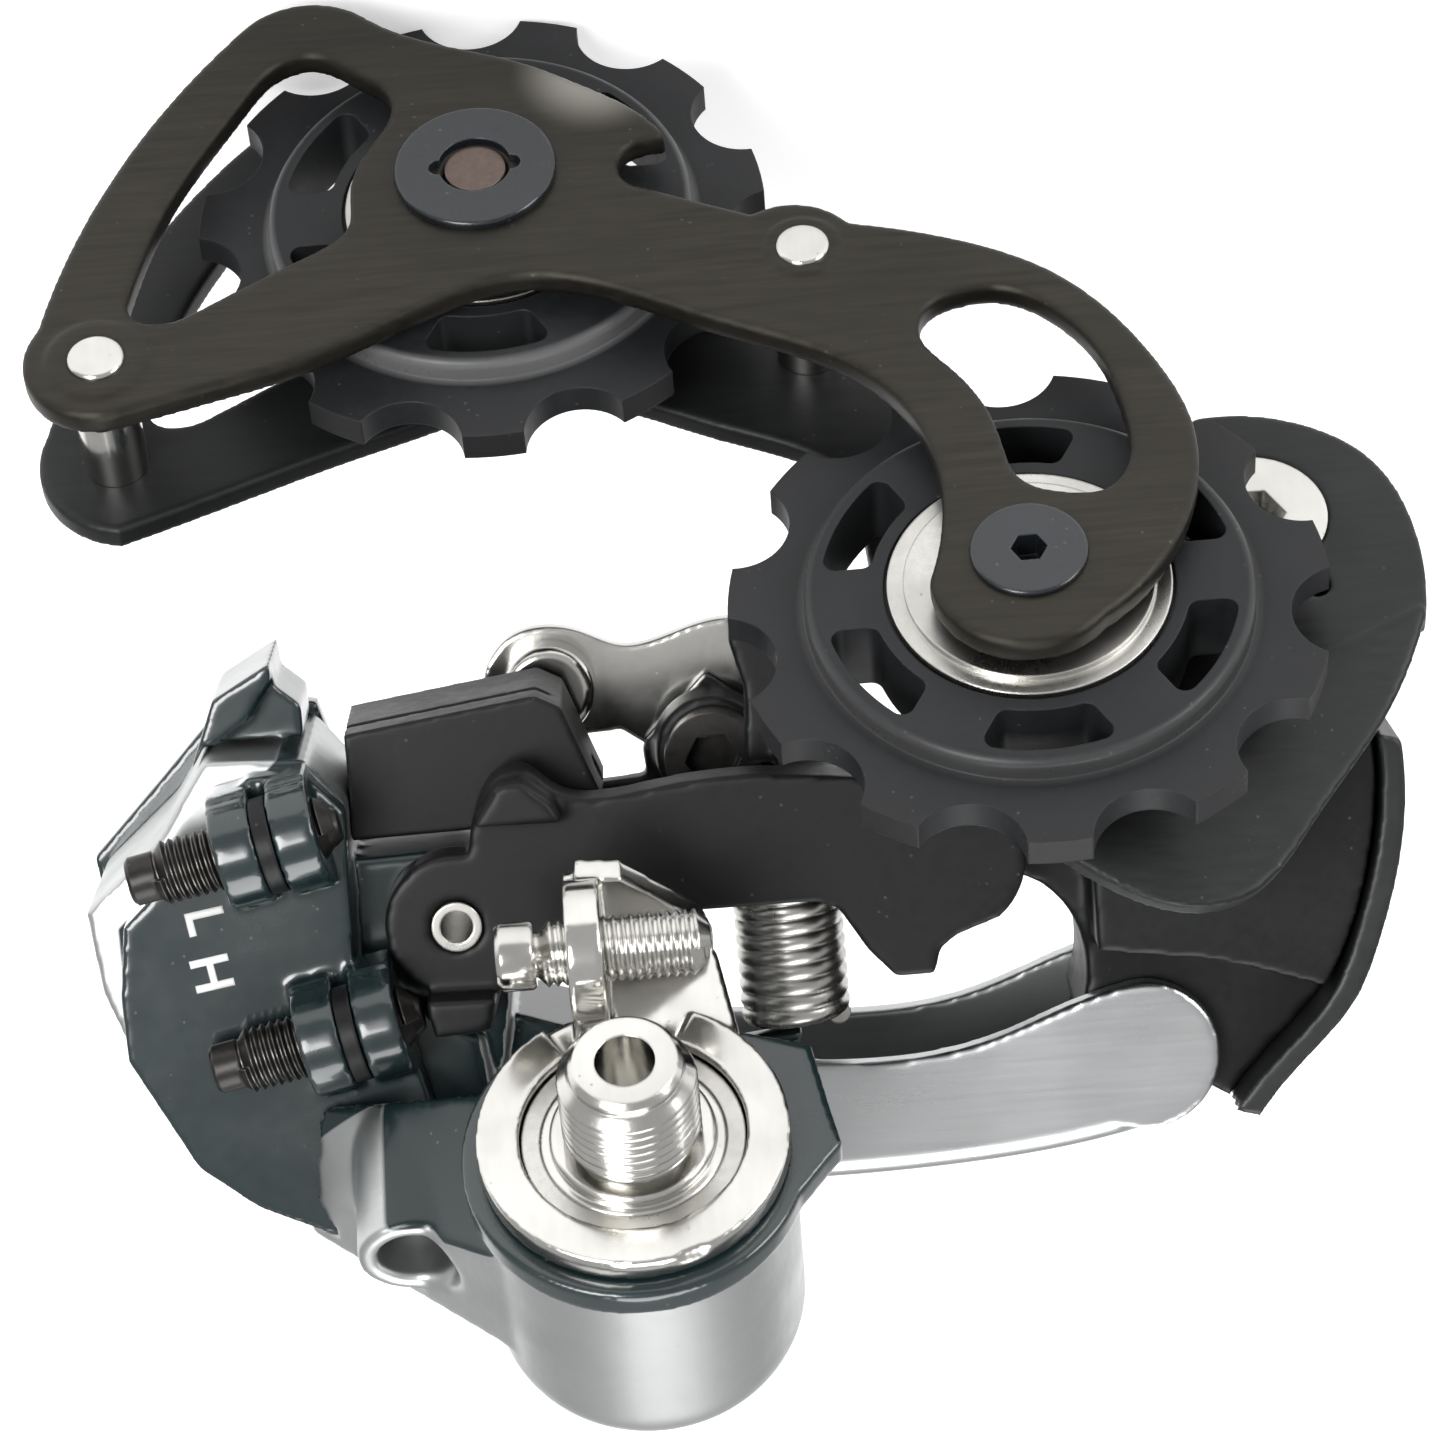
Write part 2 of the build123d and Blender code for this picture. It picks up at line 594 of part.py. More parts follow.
with BuildPart() as mounting_bolt:
    with BuildSketch(Plane.XY):
        with BuildLine():
            Polyline((0, THREAD_LENGTH), (HANGER_THREAD_R - 0.6, THREAD_LENGTH),
                     (HANGER_THREAD_R, THREAD_LENGTH - 0.6), (HANGER_THREAD_R, 0.0), (6.4, 0.0),
                     (6.4, -0.9), (7.2, -0.9), (7.2, -STOP_PLATE_THICK - 0.4),
                     (BOLT_SHANK_R, -STOP_PLATE_THICK - 0.4), (BOLT_SHANK_R, -22.8),
                     (9.4, -22.8), (9.4, -25.8), (8.8, BARREL_END), (0, BARREL_END), close=True)
        make_face()
    revolve(axis=Axis.Y)
    with BuildSketch(side(THREAD_LENGTH)):
        Circle(2.3)
    extrude(amount=8.0, mode=Mode.SUBTRACT)
    with BuildSketch(side(BARREL_END)):
        RegularPolygon(3.46, 6, major_radius=True)
    extrude(amount=-4.5, mode=Mode.SUBTRACT)
save(mounting_bolt, "mounting_bolt")

save(ring(side(-0.9), (0, 0), COLLAR_R, 7.2, 0.9), "bolt_retaining_ring")

EAR_THICK = 2.8
EAR_X = -3.9
with BuildPart() as stop_plate:
    with BuildSketch(side(-0.9)):
        Circle(STOP_PLATE_R)
        with BuildLine():
            Polyline((EAR_X, -8.0), (EAR_X, -19.2), (1.5, -19.2), (7.5, -17.0), (9.0, -7.5), close=True)
        make_face()
        Circle(COLLAR_R + 0.15, mode=Mode.SUBTRACT)
    extrude(amount=STOP_PLATE_THICK - 0.9)
    with BuildSketch(side(0)):
        Circle(STOP_PLATE_R)
        Circle(COLLAR_R + 0.15, mode=Mode.SUBTRACT)
        with BuildLine():
            Polyline((0, 0), (-12.5, -20.0), (9.5, -20.0), close=True)
        make_face(mode=Mode.SUBTRACT)
        with BuildLine():
            Polyline((0, 0), (9.0, 20.0), (5.0, 20.0), close=True)
        make_face(mode=Mode.SUBTRACT)
    extrude(amount=0.9)
    with BuildSketch(Plane(origin=(EAR_X, 0, 0), x_dir=(0, 1, 0), z_dir=(1, 0, 0))):
        with Locations((B_SCREW_Y, B_SCREW_Z)):
            Circle(5.5)
        with BuildLine():
            Polyline((-0.9, -9.2), (5.0, -8.0), (9.0, -18.0), (8.0, -19.2), (-0.9, -19.2), close=True)
        make_face()
        with Locations((B_SCREW_Y, B_SCREW_Z)):
            Circle(SCREW_R + RUN_FIT, mode=Mode.SUBTRACT)
    extrude(amount=EAR_THICK)
    with BuildSketch(Plane(origin=(0, 0, -19.2), x_dir=(1, 0, 0), z_dir=(0, 0, 1))):
        with BuildLine():
            Polyline((EAR_X + 1, -0.9), (EAR_X + 1, 9.5), (0.6, 9.0), (6.6, 2.4), (7.4, -0.9), close=True)
        make_face()
    extrude(amount=2.0)
save(stop_plate, "stop_plate")

with BuildPart() as b_tension_screw:
    with BuildSketch(Plane(origin=(-9.4, 0, 0), x_dir=(0, 1, 0), z_dir=(1, 0, 0))):
        with Locations((B_SCREW_Y, B_SCREW_Z)):
            Circle(2.7)
    extrude(amount=3.0)
    with BuildSketch(Plane(origin=(-6.4, 0, 0), x_dir=(0, 1, 0), z_dir=(1, 0, 0))):
        with Locations((B_SCREW_Y, B_SCREW_Z)):
            Circle(SCREW_R)
    extrude(amount=13.4)
    with BuildSketch(Plane(origin=(-9.4, 0, 0), x_dir=(0, 1, 0), z_dir=(1, 0, 0))):
        with Locations((B_SCREW_Y, B_SCREW_Z)):
            Rectangle(6.0, 0.8)
    extrude(amount=1.1, mode=Mode.SUBTRACT)
save(b_tension_screw, "b_tension_screw")

save(ring(side(-STOP_PLATE_THICK - SIDE_GAP), (0, 0), 9.0, BOLT_SHANK_R + 1.3, 1.0), "b_dust_seal")
save(ring(side(-3.6), (0, 0), BOLT_SHANK_R + 1.2, BOLT_SHANK_R + RUN_FIT, 18.8), "b_bush")
b_spring = wound((0, -5.2, 0), (0, -1, 0), 8.7, 0.9, 13.5, 6)
save(b_spring, "b_spring")

with BuildPart() as b_flange:
    with BuildSketch(side(-STOP_PLATE_THICK - 0.3)):
        Circle(13.4)
        with BuildLine():
            Polyline((8.0, -10.6), (14.2, -8.6), (15.2, -2.6), (15.9, 0.9), (14.6, 2.4),
                     (8.0, 10.6), close=True)
        make_face()
        Circle(10.3, mode=Mode.SUBTRACT)
    extrude(amount=2.6)
save(b_flange, "b_flange")

# outline of the slanted face with the limit screws, across the pins, without its right-hand side
FACE_EDGE = ((-36.0, 20.6), (-42.6, 15.0), (-41.9, 8.3), (-40.1, 3.2), (-35.4, -6.0), (-30.9, -9.7),
             (-25.5, -12.3), (-20.0, -13.6))


def face_outline():
    Polyline((-24.1, 25.6), (-28.6, 25.4), (-32.6, 20.4), (-39.4, 14.2), (-40.2, 8.3), *FACE_EDGE[3:],
             (-14.0, -12.0), (-17.0, 1.0), (-21.5, 8.0), (-21.0, 22.0), close=True)


with BuildPart() as b_knuckle_body:
    # barrel
    with BuildSketch(Plane.XY):
        with BuildLine():
            Polyline((0, -5.1), (BARREL_R, -5.1), (BARREL_R, BARREL_END + 4.0))
            RadiusArc((BARREL_R, BARREL_END + 4.0), (BARREL_R - 3.0, BARREL_END - 0.6), 5.4)
            Polyline((BARREL_R - 3.0, BARREL_END - 0.6), (0, BARREL_END - 0.6), (0, -5.1))
        make_face()
    revolve(axis=Axis.Y)
    # slanted block that carries the limit screws
    with BuildSketch(across(FACE_TOP - FACE_THICK)):
        with BuildLine():
            Polyline(*FACE_EDGE, (-10.0, -14.5), (-12.0, 2.0), (-21.5, 8.0), (-21.0, 22.0),
                     (-24.1, 26.0), (-32.0, 26.5), close=True)
        make_face()
    extrude(amount=BLOCK_LOW - FACE_TOP + FACE_THICK)
    # lugs between the ears of the links
    with BuildSketch(across(BLOCK_LOW)):
        with Locations(REAR_INNER):
            Circle(LUG_R)
        with BuildLine():
            Polyline((-22.0, 17.0), (-13.0, 17.2), (-8.4, 9.0), (-12.0, -9.0), (-22.0, -9.0), close=True)
        make_face()
    extrude(amount=REAR_LUG_TOP - BLOCK_LOW)
    with BuildSketch(across(BLOCK_LOW)):
        with Locations(REAR_OUTER):
            Circle(LUG_R)
        with BuildLine():
            Polyline((-14.0, 4.0), (2.0, -1.7), (2.0, -11.9), (-14.0, -12.0), close=True)
        make_face()
    extrude(amount=OUTER_LUG_TOP - BLOCK_LOW)
    # finger that holds the return spring's low end
    with BuildSketch(across(COIL_D - 1.2)):
        with BuildLine():
            Polyline((4.0, -2.6), (5.0, -5.4), (13.9, -2.8), (13.9, -1.5), close=True)
        make_face()
    extrude(amount=2.4)
    # shoulder between the slanted block and the barrel
    with BuildSketch(Plane(origin=(-27.0, 0, 0), x_dir=(0, 1, 0), z_dir=(1, 0, 0))):
        with BuildLine():
            Polyline((-15.5, -15.5), (-21.0, -10.6), (-25.0, -9.6), (-26.5, -14.0),
                     (-22.0, -19.0), close=True)
        make_face()
    with BuildSketch(Plane(origin=(-8.0, 0, 0), x_dir=(0, 1, 0), z_dir=(1, 0, 0))):
        with BuildLine():
            Polyline((-5.2, -8.5), (-5.2, 8.6), (-20.0, 8.6), (-24.0, -4.0), (-20.0, -9.0), close=True)
        make_face()
    loft(ruled=True)
    # boss of the cable adjuster
    with BuildSketch(Plane(origin=(*ADJUSTER, ADJUSTER_TOP))):
        Circle(ADJUSTER_BOSS_R)
    extrude(amount=-ADJUSTER_DEEP - 2.5)
    # seat of the painted face
    with BuildSketch(across(FACE_TOP - FACE_THICK)):
        with BuildLine():
            face_outline()
        make_face()
    extrude(amount=FACE_THICK + 0.2, mode=Mode.SUBTRACT)
    # bores
    with BuildSketch(side(0)):
        Circle(10.3)
    extrude(amount=20.6, mode=Mode.SUBTRACT)
    with BuildSketch(side(0)):
        Circle(BOLT_SHANK_R + 1.2)
    extrude(amount=40, mode=Mode.SUBTRACT)
    with BuildSketch(side(-22.4)):
        Circle(9.6)
    extrude(amount=10, mode=Mode.SUBTRACT)
    with BuildSketch(across(-60)):
        with Locations(REAR_INNER, REAR_OUTER):
            Circle(PIN_R)
    extrude(amount=50, mode=Mode.SUBTRACT)
    with BuildSketch(Plane(origin=(*ADJUSTER, ADJUSTER_TOP))):
        Circle(ADJUSTER_R)
    extrude(amount=-ADJUSTER_DEEP, mode=Mode.SUBTRACT)
    # spot face above the seat, so the adjuster can come in from the top
    with BuildSketch(Plane(origin=(*ADJUSTER, ADJUSTER_TOP))):
        Circle(ADJUSTER_SEAT_R)
    extrude(amount=ADJUSTER_CLEAR, mode=Mode.SUBTRACT)
save(b_knuckle_body, "b_knuckle_body")

LIMIT_X = Vector(cos(radians(LIMIT_TURN)), sin(radians(LIMIT_TURN)), 0)


def limit_plane(start, along):
    """Plane across a limit screw's axis, at a distance along it from the screw's outer end."""
    base = across(LIMIT_D)
    origin = base.from_local_coords((start[0] + LIMIT_X.X * along, start[1] + LIMIT_X.Y * along, 0))
    direction = base.x_dir * LIMIT_X.X + base.y_dir * LIMIT_X.Y
    return Plane(origin=origin, x_dir=PINS, z_dir=direction)


LUG_START, LUG_HALF, LUG_GROOVE = 7.4, 3.4, 1.4
LUG_END = LUG_START + 2 * LUG_HALF + LUG_GROOVE

with BuildPart() as b_knuckle_face:
    with BuildSketch(across(FACE_TOP - FACE_THICK + 0.02)):
        with BuildLine():
            face_outline()
        make_face()
    extrude(amount=FACE_THICK - 0.02)
    for start in (LOW_START, HIGH_START):
        for begin in (LUG_START, LUG_START + LUG_HALF + LUG_GROOVE):
            with BuildSketch(limit_plane(start, begin)):
                Circle(LUG_OUT_R)
                with Locations((-2.6, 0)):
                    Rectangle(5.2, 2 * LUG_OUT_R + 0.8)
            extrude(amount=LUG_HALF)
        with BuildSketch(limit_plane(start, LUG_START + LUG_HALF - 0.1)):
            Circle(LUG_OUT_R - 1.6)
        extrude(amount=LUG_GROOVE + 0.2)
    split(bisect_by=across(FACE_TOP - FACE_THICK + 0.02), keep=Keep.TOP)
    for start in (LOW_START, HIGH_START):
        with BuildSketch(limit_plane(start, -2)):
            Circle(SCREW_R + RUN_FIT)
        extrude(amount=LIMIT_LENGTH + 6, mode=Mode.SUBTRACT)
        with BuildSketch(limit_plane(start, LUG_START + LUG_HALF)):
            Circle(LUG_OUT_R + 1)
            Circle(LUG_OUT_R - 1.6, mode=Mode.SUBTRACT)
            with Locations((-5.2, 0)):
                Rectangle(6.0, 20.0, mode=Mode.SUBTRACT)
        extrude(amount=LUG_GROOVE, mode=Mode.SUBTRACT)
save(b_knuckle_face, "b_knuckle_face")


def limit_screw(start):
    with BuildPart() as screw:
        with BuildSketch(limit_plane(start, 0)):
            Circle(SCREW_R)
        extrude(amount=LIMIT_LENGTH)
        chamfer(screw.edges().filter_by(GeomType.CIRCLE), 0.3)
        with BuildSketch(limit_plane(start, 0)):
            RegularPolygon(1.15, 6, major_radius=True)
        extrude(amount=1.8, mode=Mode.SUBTRACT)
    return screw


save(limit_screw(LOW_START), "low_limit_screw")
save(limit_screw(HIGH_START), "high_limit_screw")


def lug_collar(start):
    """Dark insert that fills the groove between the two halves of a limit lug."""
    with BuildPart() as collar:
        with BuildSketch(limit_plane(start, LUG_START + LUG_HALF + 0.05)):
            with Locations((0.4, 0)):
                Circle(LUG_OUT_R - 0.4)
            Circle(LUG_OUT_R - 1.6, mode=Mode.SUBTRACT)
        extrude(amount=LUG_GROOVE - 0.1)
        split(bisect_by=across(FACE_TOP + 0.9), keep=Keep.TOP)
    return collar


save(lug_collar(LOW_START), "low_lug_insert")
save(lug_collar(HIGH_START), "high_lug_insert")

with BuildPart() as b_knuckle_back:
    with BuildSketch(across(BLOCK_LOW - 0.02)):
        with BuildLine():
            Polyline((-24.0, 26.8), (-31.0, 28.0), (-37.4, 21.4), (-43.6, 15.2), (-42.8, 8.0), (-41.0, 2.9),
                     (-36.0, -6.6), (-30.0, -10.4), (-24.0, -12.0), (-22.0, 0.0), (-21.5, 18.0), close=True)
        make_face()
    extrude(amount=-2.4)
    chamfer(b_knuckle_back.edges().group_by(SortBy.LENGTH)[-1:][0], 0.3)
save(b_knuckle_back, "b_knuckle_back")

# cable stop: a slit block with the adjuster's threaded hole, and its hooked shell
with BuildPart() as cable_stop:
    with BuildSketch(across(STOP_LOW)):
        with BuildLine():
            Polyline((-21.1, 18.3), (-3.4, 18.5), (-0.6, 20.0), (-3.4, 27.8), (-5.4, 28.9), (-20.9, 27.0),
                     (-20.9, 22.0), close=True)
        make_face()
    extrude(amount=STOP_TOP - STOP_LOW)
    with BuildSketch(across(STOP_TOP - 3.2)):
        with Locations((-12, 28.8)):
            Rectangle(26, 3.2, rotation=7)
    extrude(amount=-0.7, mode=Mode.SUBTRACT)
    with BuildSketch(cable_plane(0)):
        Circle(CABLE_R)
    extrude(amount=-30, mode=Mode.SUBTRACT)
save(cable_stop, "cable_stop")

with BuildPart() as cable_stop_shell:
    with BuildSketch(across(-40.0)):
        with BuildLine():
            Polyline((-32.2, 26.9), (-24.3, 26.7), (-24.3, 29.3), (-26.2, 31.0), (-26.4, 33.2),
                     (-31.2, 30.6),
                     (-33.6, 24.6), close=True)
        make_face()
    extrude(amount=12.0)
    with BuildSketch(across(-30.0)):
        with BuildLine():
            Polyline((-31.6, 26.9), (-24.3, 26.7), (-24.3, 35.0), (-28.6, 28.6), close=True)
        make_face()
    extrude(amount=3.0, mode=Mode.SUBTRACT)
save(cable_stop_shell, "cable_stop_shell")

# ==== parallelogram =========================================================================

with BuildPart() as inner_link:
    # near plate
    with BuildSketch(across(INNER_TOP - INNER_EAR)):
        with BuildLine():
            Spline((-11.6, 17.6), (-10.8, 21.0), (-8.8, 23.8), (-6.8, 24.2), (-4.4, 22.3), (0.0, 21.4),
                   (4.0, 21.9), (11.0, 22.3), (18.0, 21.6), (25.0, 20.4), (30.6, 18.4))
            ThreePointArc((30.6, 18.4), (32.6, 14.0), (30.2, 9.0))
            Polyline((30.2, 9.0), (26.6, 7.8), (25.3, 6.8), (24.7, 4.8), (21.6, 4.8), (19.5, 7.2),
                     (17.4, 10.8),
                     (15.6, 11.5), (5.6, 11.6), (-3.0, 9.4), (-7.6, 9.6), (-9.6, 7.4), (-10.8, 3.8),
                     (-14.4, 3.6), (-15.0, 7.0))
            Line((-15.0, 7.0), (-17.5, 8.6))
            ThreePointArc((-17.5, 8.6), (-18.7, 12.6), (-16.0, 16.9))
            Line((-16.0, 16.9), (-11.6, 17.6))
        make_face()
        with Locations(REAR_INNER):
            Circle(EAR_R)
    extrude(amount=INNER_EAR)
    # raised pads that the limit screws meet
    with BuildSketch(across(INNER_TOP)):
        with BuildLine():
            Polyline((-10.9, 20.6), (-8.8, 23.6), (-6.9, 23.9), (-4.6, 22.0), (-3.8, 20.4), close=True)
        make_face()
        with BuildLine():
            Polyline((-15.4, 3.8), (-10.9, 4.0), (-10.2, 6.6), (-15.95, 6.8), close=True)
        make_face()
    extrude(amount=3.4)
    # far bar
    with BuildSketch(across(LINK_BACK)):
        with Locations(REAR_INNER, FRONT_INNER):
            Circle(5.4)
        with BuildLine():
            Polyline(near(REAR_INNER, 0, 5.4), near(FRONT_INNER, 0, 5.4), near(FRONT_INNER, 0, -5.4),
                     near(FRONT_INNER, -8, -3.4), near(REAR_INNER, 8, -3.4), near(REAR_INNER, 0, -5.4),
                     close=True)
        make_face()
        with BuildLine():
            Polyline((3.0, 16.0), (2.6, 20.6), (8.4, 26.2), (14.2, 21.6), (19.0, 16.0), close=True)
        make_face()
    extrude(amount=OUTER_EAR)
    # boss of the cable clamp
    with BuildSketch(across(INNER_BACK_EAR - 0.1)):
        with Locations(CLAMP):
            Circle(5.0)
    extrude(amount=3.4, taper=6)
    # web that joins the plates
    with BuildSketch(across(LINK_BACK)):
        with BuildLine():
            Polyline((13.6, 16.6), (19.0, 16.6), (19.0, 21.4), (13.6, 22.0), close=True)
        make_face()
    extrude(amount=INNER_TOP - 1 - LINK_BACK)
    # upright arm with its rounded end
    with BuildSketch(across(-36.5)):
        with BuildLine():
            Polyline((11.0, 21.0), (18.5, 21.0), (15.6, 27.0), (15.4, 33.0), (13.8, 34.8), (11.0, 34.6),
                     (10.4, 31.4), (11.4, 27.0), close=True)
        make_face()
    extrude(amount=5.0)
    with BuildSketch(across(-60)):
        with Locations(REAR_INNER, FRONT_INNER):
            Circle(PIN_R + RUN_FIT)
    extrude(amount=36.0, mode=Mode.SUBTRACT)
    with BuildSketch(across(-30)):
        with Locations(REAR_INNER):
            Circle(PIN_R + RUN_FIT)
    extrude(amount=20.0, mode=Mode.SUBTRACT)
    with BuildSketch(across(-60)):
        with Locations(CLAMP):
            Circle(CLAMP_R)
    extrude(amount=30.0, mode=Mode.SUBTRACT)
save(inner_link, "inner_link")

# long edge of the outer link's polished skin, across the pins
OUTER_EDGE = ((15.6, -3.4), (21.2, -3.6), (29.4, -2.4), (35.6, -0.2))
with BuildPart() as outer_link:
    with BuildSketch(across(LINK_BACK)):
        with BuildLine():
            ThreePointArc(near(REAR_OUTER, 0.4, 4.6), near(REAR_OUTER, -SKIN_IN, 0), near(REAR_OUTER,
                                                                                          0, -SKIN_IN))
            Spline(near(REAR_OUTER, 0, -SKIN_IN), (8.0, -13.0), (17.0, -13.3), (28.0, -13.0), (36.0, -12.2),
                   near(FRONT_OUTER, 0.6, -6.0))
            ThreePointArc(near(FRONT_OUTER, 0.6, -6.0), near(FRONT_OUTER, 6.0, 0.4), near(FRONT_OUTER,
                                                                                          0, 6.2))
            Spline(near(FRONT_OUTER, 0, 6.2), *reversed(OUTER_EDGE), near(REAR_OUTER, 0.4, 4.6))
        make_face()
    extrude(amount=OUTER_TOP - LINK_BACK)
    long_edges = outer_link.edges().filter_by(
        lambda e: e.length > 20 and (across(0).to_local_coords(e.center())).Y < -8)
    fillet(long_edges, 2.0)
    # hollow between the ears, open towards the inner link and at both ends
    with BuildSketch(across(INNER_BACK_EAR)):
        with BuildLine():
            Polyline(near(REAR_OUTER, -8, -9), near(REAR_OUTER, 2, -5.4), near(REAR_OUTER, 10, -5.4),
                     (28.0, -11.6), (37.0, -11.0), near(FRONT_OUTER, -0.4, -SKIN_IN),
                     near(FRONT_OUTER, -0.4, -12.0), near(FRONT_OUTER, 9.0, -12.0), (50.5, 12.0),
                     (-8.0, 12.0), close=True)
        make_face()
    extrude(amount=OUTER_TOP - OUTER_EAR - INNER_BACK_EAR, mode=Mode.SUBTRACT)
    with BuildSketch(across(-60)):
        with Locations(REAR_OUTER, FRONT_OUTER):
            Circle(PIN_R + RUN_FIT)
    extrude(amount=31.2, mode=Mode.SUBTRACT)
save(outer_link, "outer_link")


def link_pin(centre, top, hollow):
    """Hardened pin; the visible one is a hollow rivet."""
    with BuildPart() as pin:
        with BuildSketch(across(LINK_BACK)):
            with Locations(centre):
                Circle(PIN_R)
                if hollow:
                    Circle(PIN_HOLE_R, mode=Mode.SUBTRACT)
        extrude(amount=top - LINK_BACK)
    return pin


save(link_pin(REAR_INNER, INNER_TOP + 0.3, True), "rear_inner_pin")
save(link_pin(REAR_OUTER, OUTER_TOP - 1.9, False), "rear_outer_pin")
save(link_pin(FRONT_INNER, -24.1, False), "front_inner_pin")
save(link_pin(FRONT_OUTER, OUTER_TOP - 1.9, False), "front_outer_pin")

coil_plane = across(COIL_D)
return_spring = wound(coil_plane.from_local_coords((COIL_S, COIL_LOW, 0)), coil_plane.y_dir,
                      COIL_R, COIL_WIRE, COIL_HIGH - COIL_LOW, COIL_TURNS)
save(return_spring, "return_spring")

with BuildPart() as cable_clamp_plate:
    with BuildSketch(across(LINK_BACK - 0.02)):
        with BuildLine():
            Spline((-10.0, 25.2), (-9.6, 28.4), (-7.6, 30.4), (-4.6, 31.0), (-1.6, 30.3), (1.6, 28.9),
                   (4.6, 29.2),
                   (8.0, 30.2), (11.4, 30.4), (14.6, 29.0), (16.0, 25.6))
            Polyline((16.0, 25.6), (14.6, 20.0), (10.6, 18.0), (5.6, 18.4), (1.0, 21.8), (-4.6, 21.6),
                     (-8.6, 22.8),
                     (-10.0, 25.2))
        make_face()
        with Locations(CLAMP):
            Circle(CLAMP_R, mode=Mode.SUBTRACT)
    extrude(amount=-1.8)
save(cable_clamp_plate, "cable_clamp_plate")

with BuildPart() as cable_clamp_bolt:
    with BuildSketch(across(INNER_BACK_EAR + 3.32)):
        with Locations(CLAMP):
            Circle(4.0)
    extrude(amount=3.2)
    with BuildSketch(across(LINK_BACK - 4.6)):
        with Locations(CLAMP):
            Circle(CLAMP_R - 0.02)
    extrude(amount=INNER_BACK_EAR + 3.32 - LINK_BACK + 4.6)
    with BuildSketch(across(INNER_BACK_EAR + 6.52)):
        with Locations(CLAMP):
            RegularPolygon(2.3, 6, major_radius=True)
    extrude(amount=-2.2, mode=Mode.SUBTRACT)
save(cable_clamp_bolt, "cable_clamp_bolt")
save(ring(across(LINK_BACK - 4.4), CLAMP, 4.2, CLAMP_R, 2.5), "cable_clamp_nut")

with BuildPart() as cable_clamp_peg:
    with BuildSketch(across(LINK_BACK)):
        with Locations((-4.7, 26.2)):
            Circle(3.8)
    extrude(amount=4.2)
    fillet(cable_clamp_peg.edges().group_by(Axis((0, 0, 0), tuple(PINS)))[-1], 0.8)
save(cable_clamp_peg, "cable_clamp_peg")
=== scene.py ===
# %% [markdown]
# # Rear derailleur
# The rear derailleur hangs below a bicycle's frame and moves the chain from one sprocket to the next. Its
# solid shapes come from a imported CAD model. They could be shown as they are, but their edges are
# perfectly sharp and their threads are smooth. This script adds what the eye expects: soft cast edges,
# real threads, a coiled spring, painted marks and finishes. Sizes are in millimetres, and `MM` turns them
# into metres.

# %% Load the model
import math

import bpy
from mathutils import Matrix, Vector


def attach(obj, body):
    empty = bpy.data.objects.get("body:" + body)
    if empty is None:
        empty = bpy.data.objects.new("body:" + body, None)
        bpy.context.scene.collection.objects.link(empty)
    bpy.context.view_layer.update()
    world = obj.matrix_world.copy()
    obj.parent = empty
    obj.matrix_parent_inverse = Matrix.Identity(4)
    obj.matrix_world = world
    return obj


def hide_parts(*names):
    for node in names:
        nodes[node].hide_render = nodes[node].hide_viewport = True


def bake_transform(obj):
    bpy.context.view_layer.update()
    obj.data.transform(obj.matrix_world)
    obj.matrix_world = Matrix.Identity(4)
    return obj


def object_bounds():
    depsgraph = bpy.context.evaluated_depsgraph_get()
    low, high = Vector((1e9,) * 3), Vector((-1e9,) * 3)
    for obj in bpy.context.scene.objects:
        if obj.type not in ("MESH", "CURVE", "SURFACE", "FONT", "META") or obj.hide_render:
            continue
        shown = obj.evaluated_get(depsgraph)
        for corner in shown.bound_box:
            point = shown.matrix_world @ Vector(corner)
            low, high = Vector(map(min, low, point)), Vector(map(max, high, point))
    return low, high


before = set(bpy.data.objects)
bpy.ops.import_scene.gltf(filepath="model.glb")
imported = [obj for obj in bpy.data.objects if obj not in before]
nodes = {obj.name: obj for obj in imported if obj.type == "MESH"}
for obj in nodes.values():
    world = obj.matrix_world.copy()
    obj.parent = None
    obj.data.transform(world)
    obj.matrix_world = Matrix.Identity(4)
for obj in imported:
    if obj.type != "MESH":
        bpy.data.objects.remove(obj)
cad_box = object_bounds()
MM = 0.001
print(len(nodes), "CAD pieces loaded")

# %% [markdown]
# ## Directions
# The four pins of the linkage slant between the bicycle's wheel and its frame. Every place could be typed
# as three plain numbers, but a place measured along and across the pins says what it means. `PINS` runs
# along them, `DOWN` lies across them, `AHEAD` points to the front, and `LIMIT` is the limit screws' way
# in.

# %% Directions and pulley centres
TILT = math.radians(50)
PINS = Vector((0, math.cos(TILT), math.sin(TILT)))
DOWN = Vector((0, math.sin(TILT), -math.cos(TILT)))
AHEAD = Vector((1, 0, 0))
LIMIT_TILT = math.radians(11)
LIMIT = (AHEAD * math.cos(LIMIT_TILT) + DOWN * math.sin(LIMIT_TILT)).normalized()
GUIDE = Vector((34.1, 15.0, -35.4)) * MM
TENSION = Vector((-7.0, 15.0, -80.9)) * MM


def across(s, t, d):
    """A point of the link frame, in metres."""
    return (AHEAD * s + DOWN * t + PINS * d) * MM


def stand(origin, axis, side=PINS):
    """A matrix that stands local Z along an axis at an origin."""
    z = axis.normalized()
    x = (side - z * side.dot(z)).normalized()
    y = z.cross(x)
    rows = Matrix((x, y, z)).transposed().to_4x4()
    return Matrix.Translation(origin) @ rows


print("limit screws point along", LIMIT)

# %% [markdown]
# ## One piece at a time
# An operator acts on all that is selected, and the loaded pieces come in selected. So these helpers
# select one piece before they act. A new piece is modelled round the origin, where it is easy to turn and
# measure, and is then moved with the move baked into its mesh, so that patterns measured from the origin
# stay on it.

# %% Select, clean, place, modify
MERGE = 0.000002


def only(obj):
    """Makes one object the whole selection."""
    bpy.ops.object.select_all(action="DESELECT")
    obj.select_set(True)
    bpy.context.view_layer.objects.active = obj


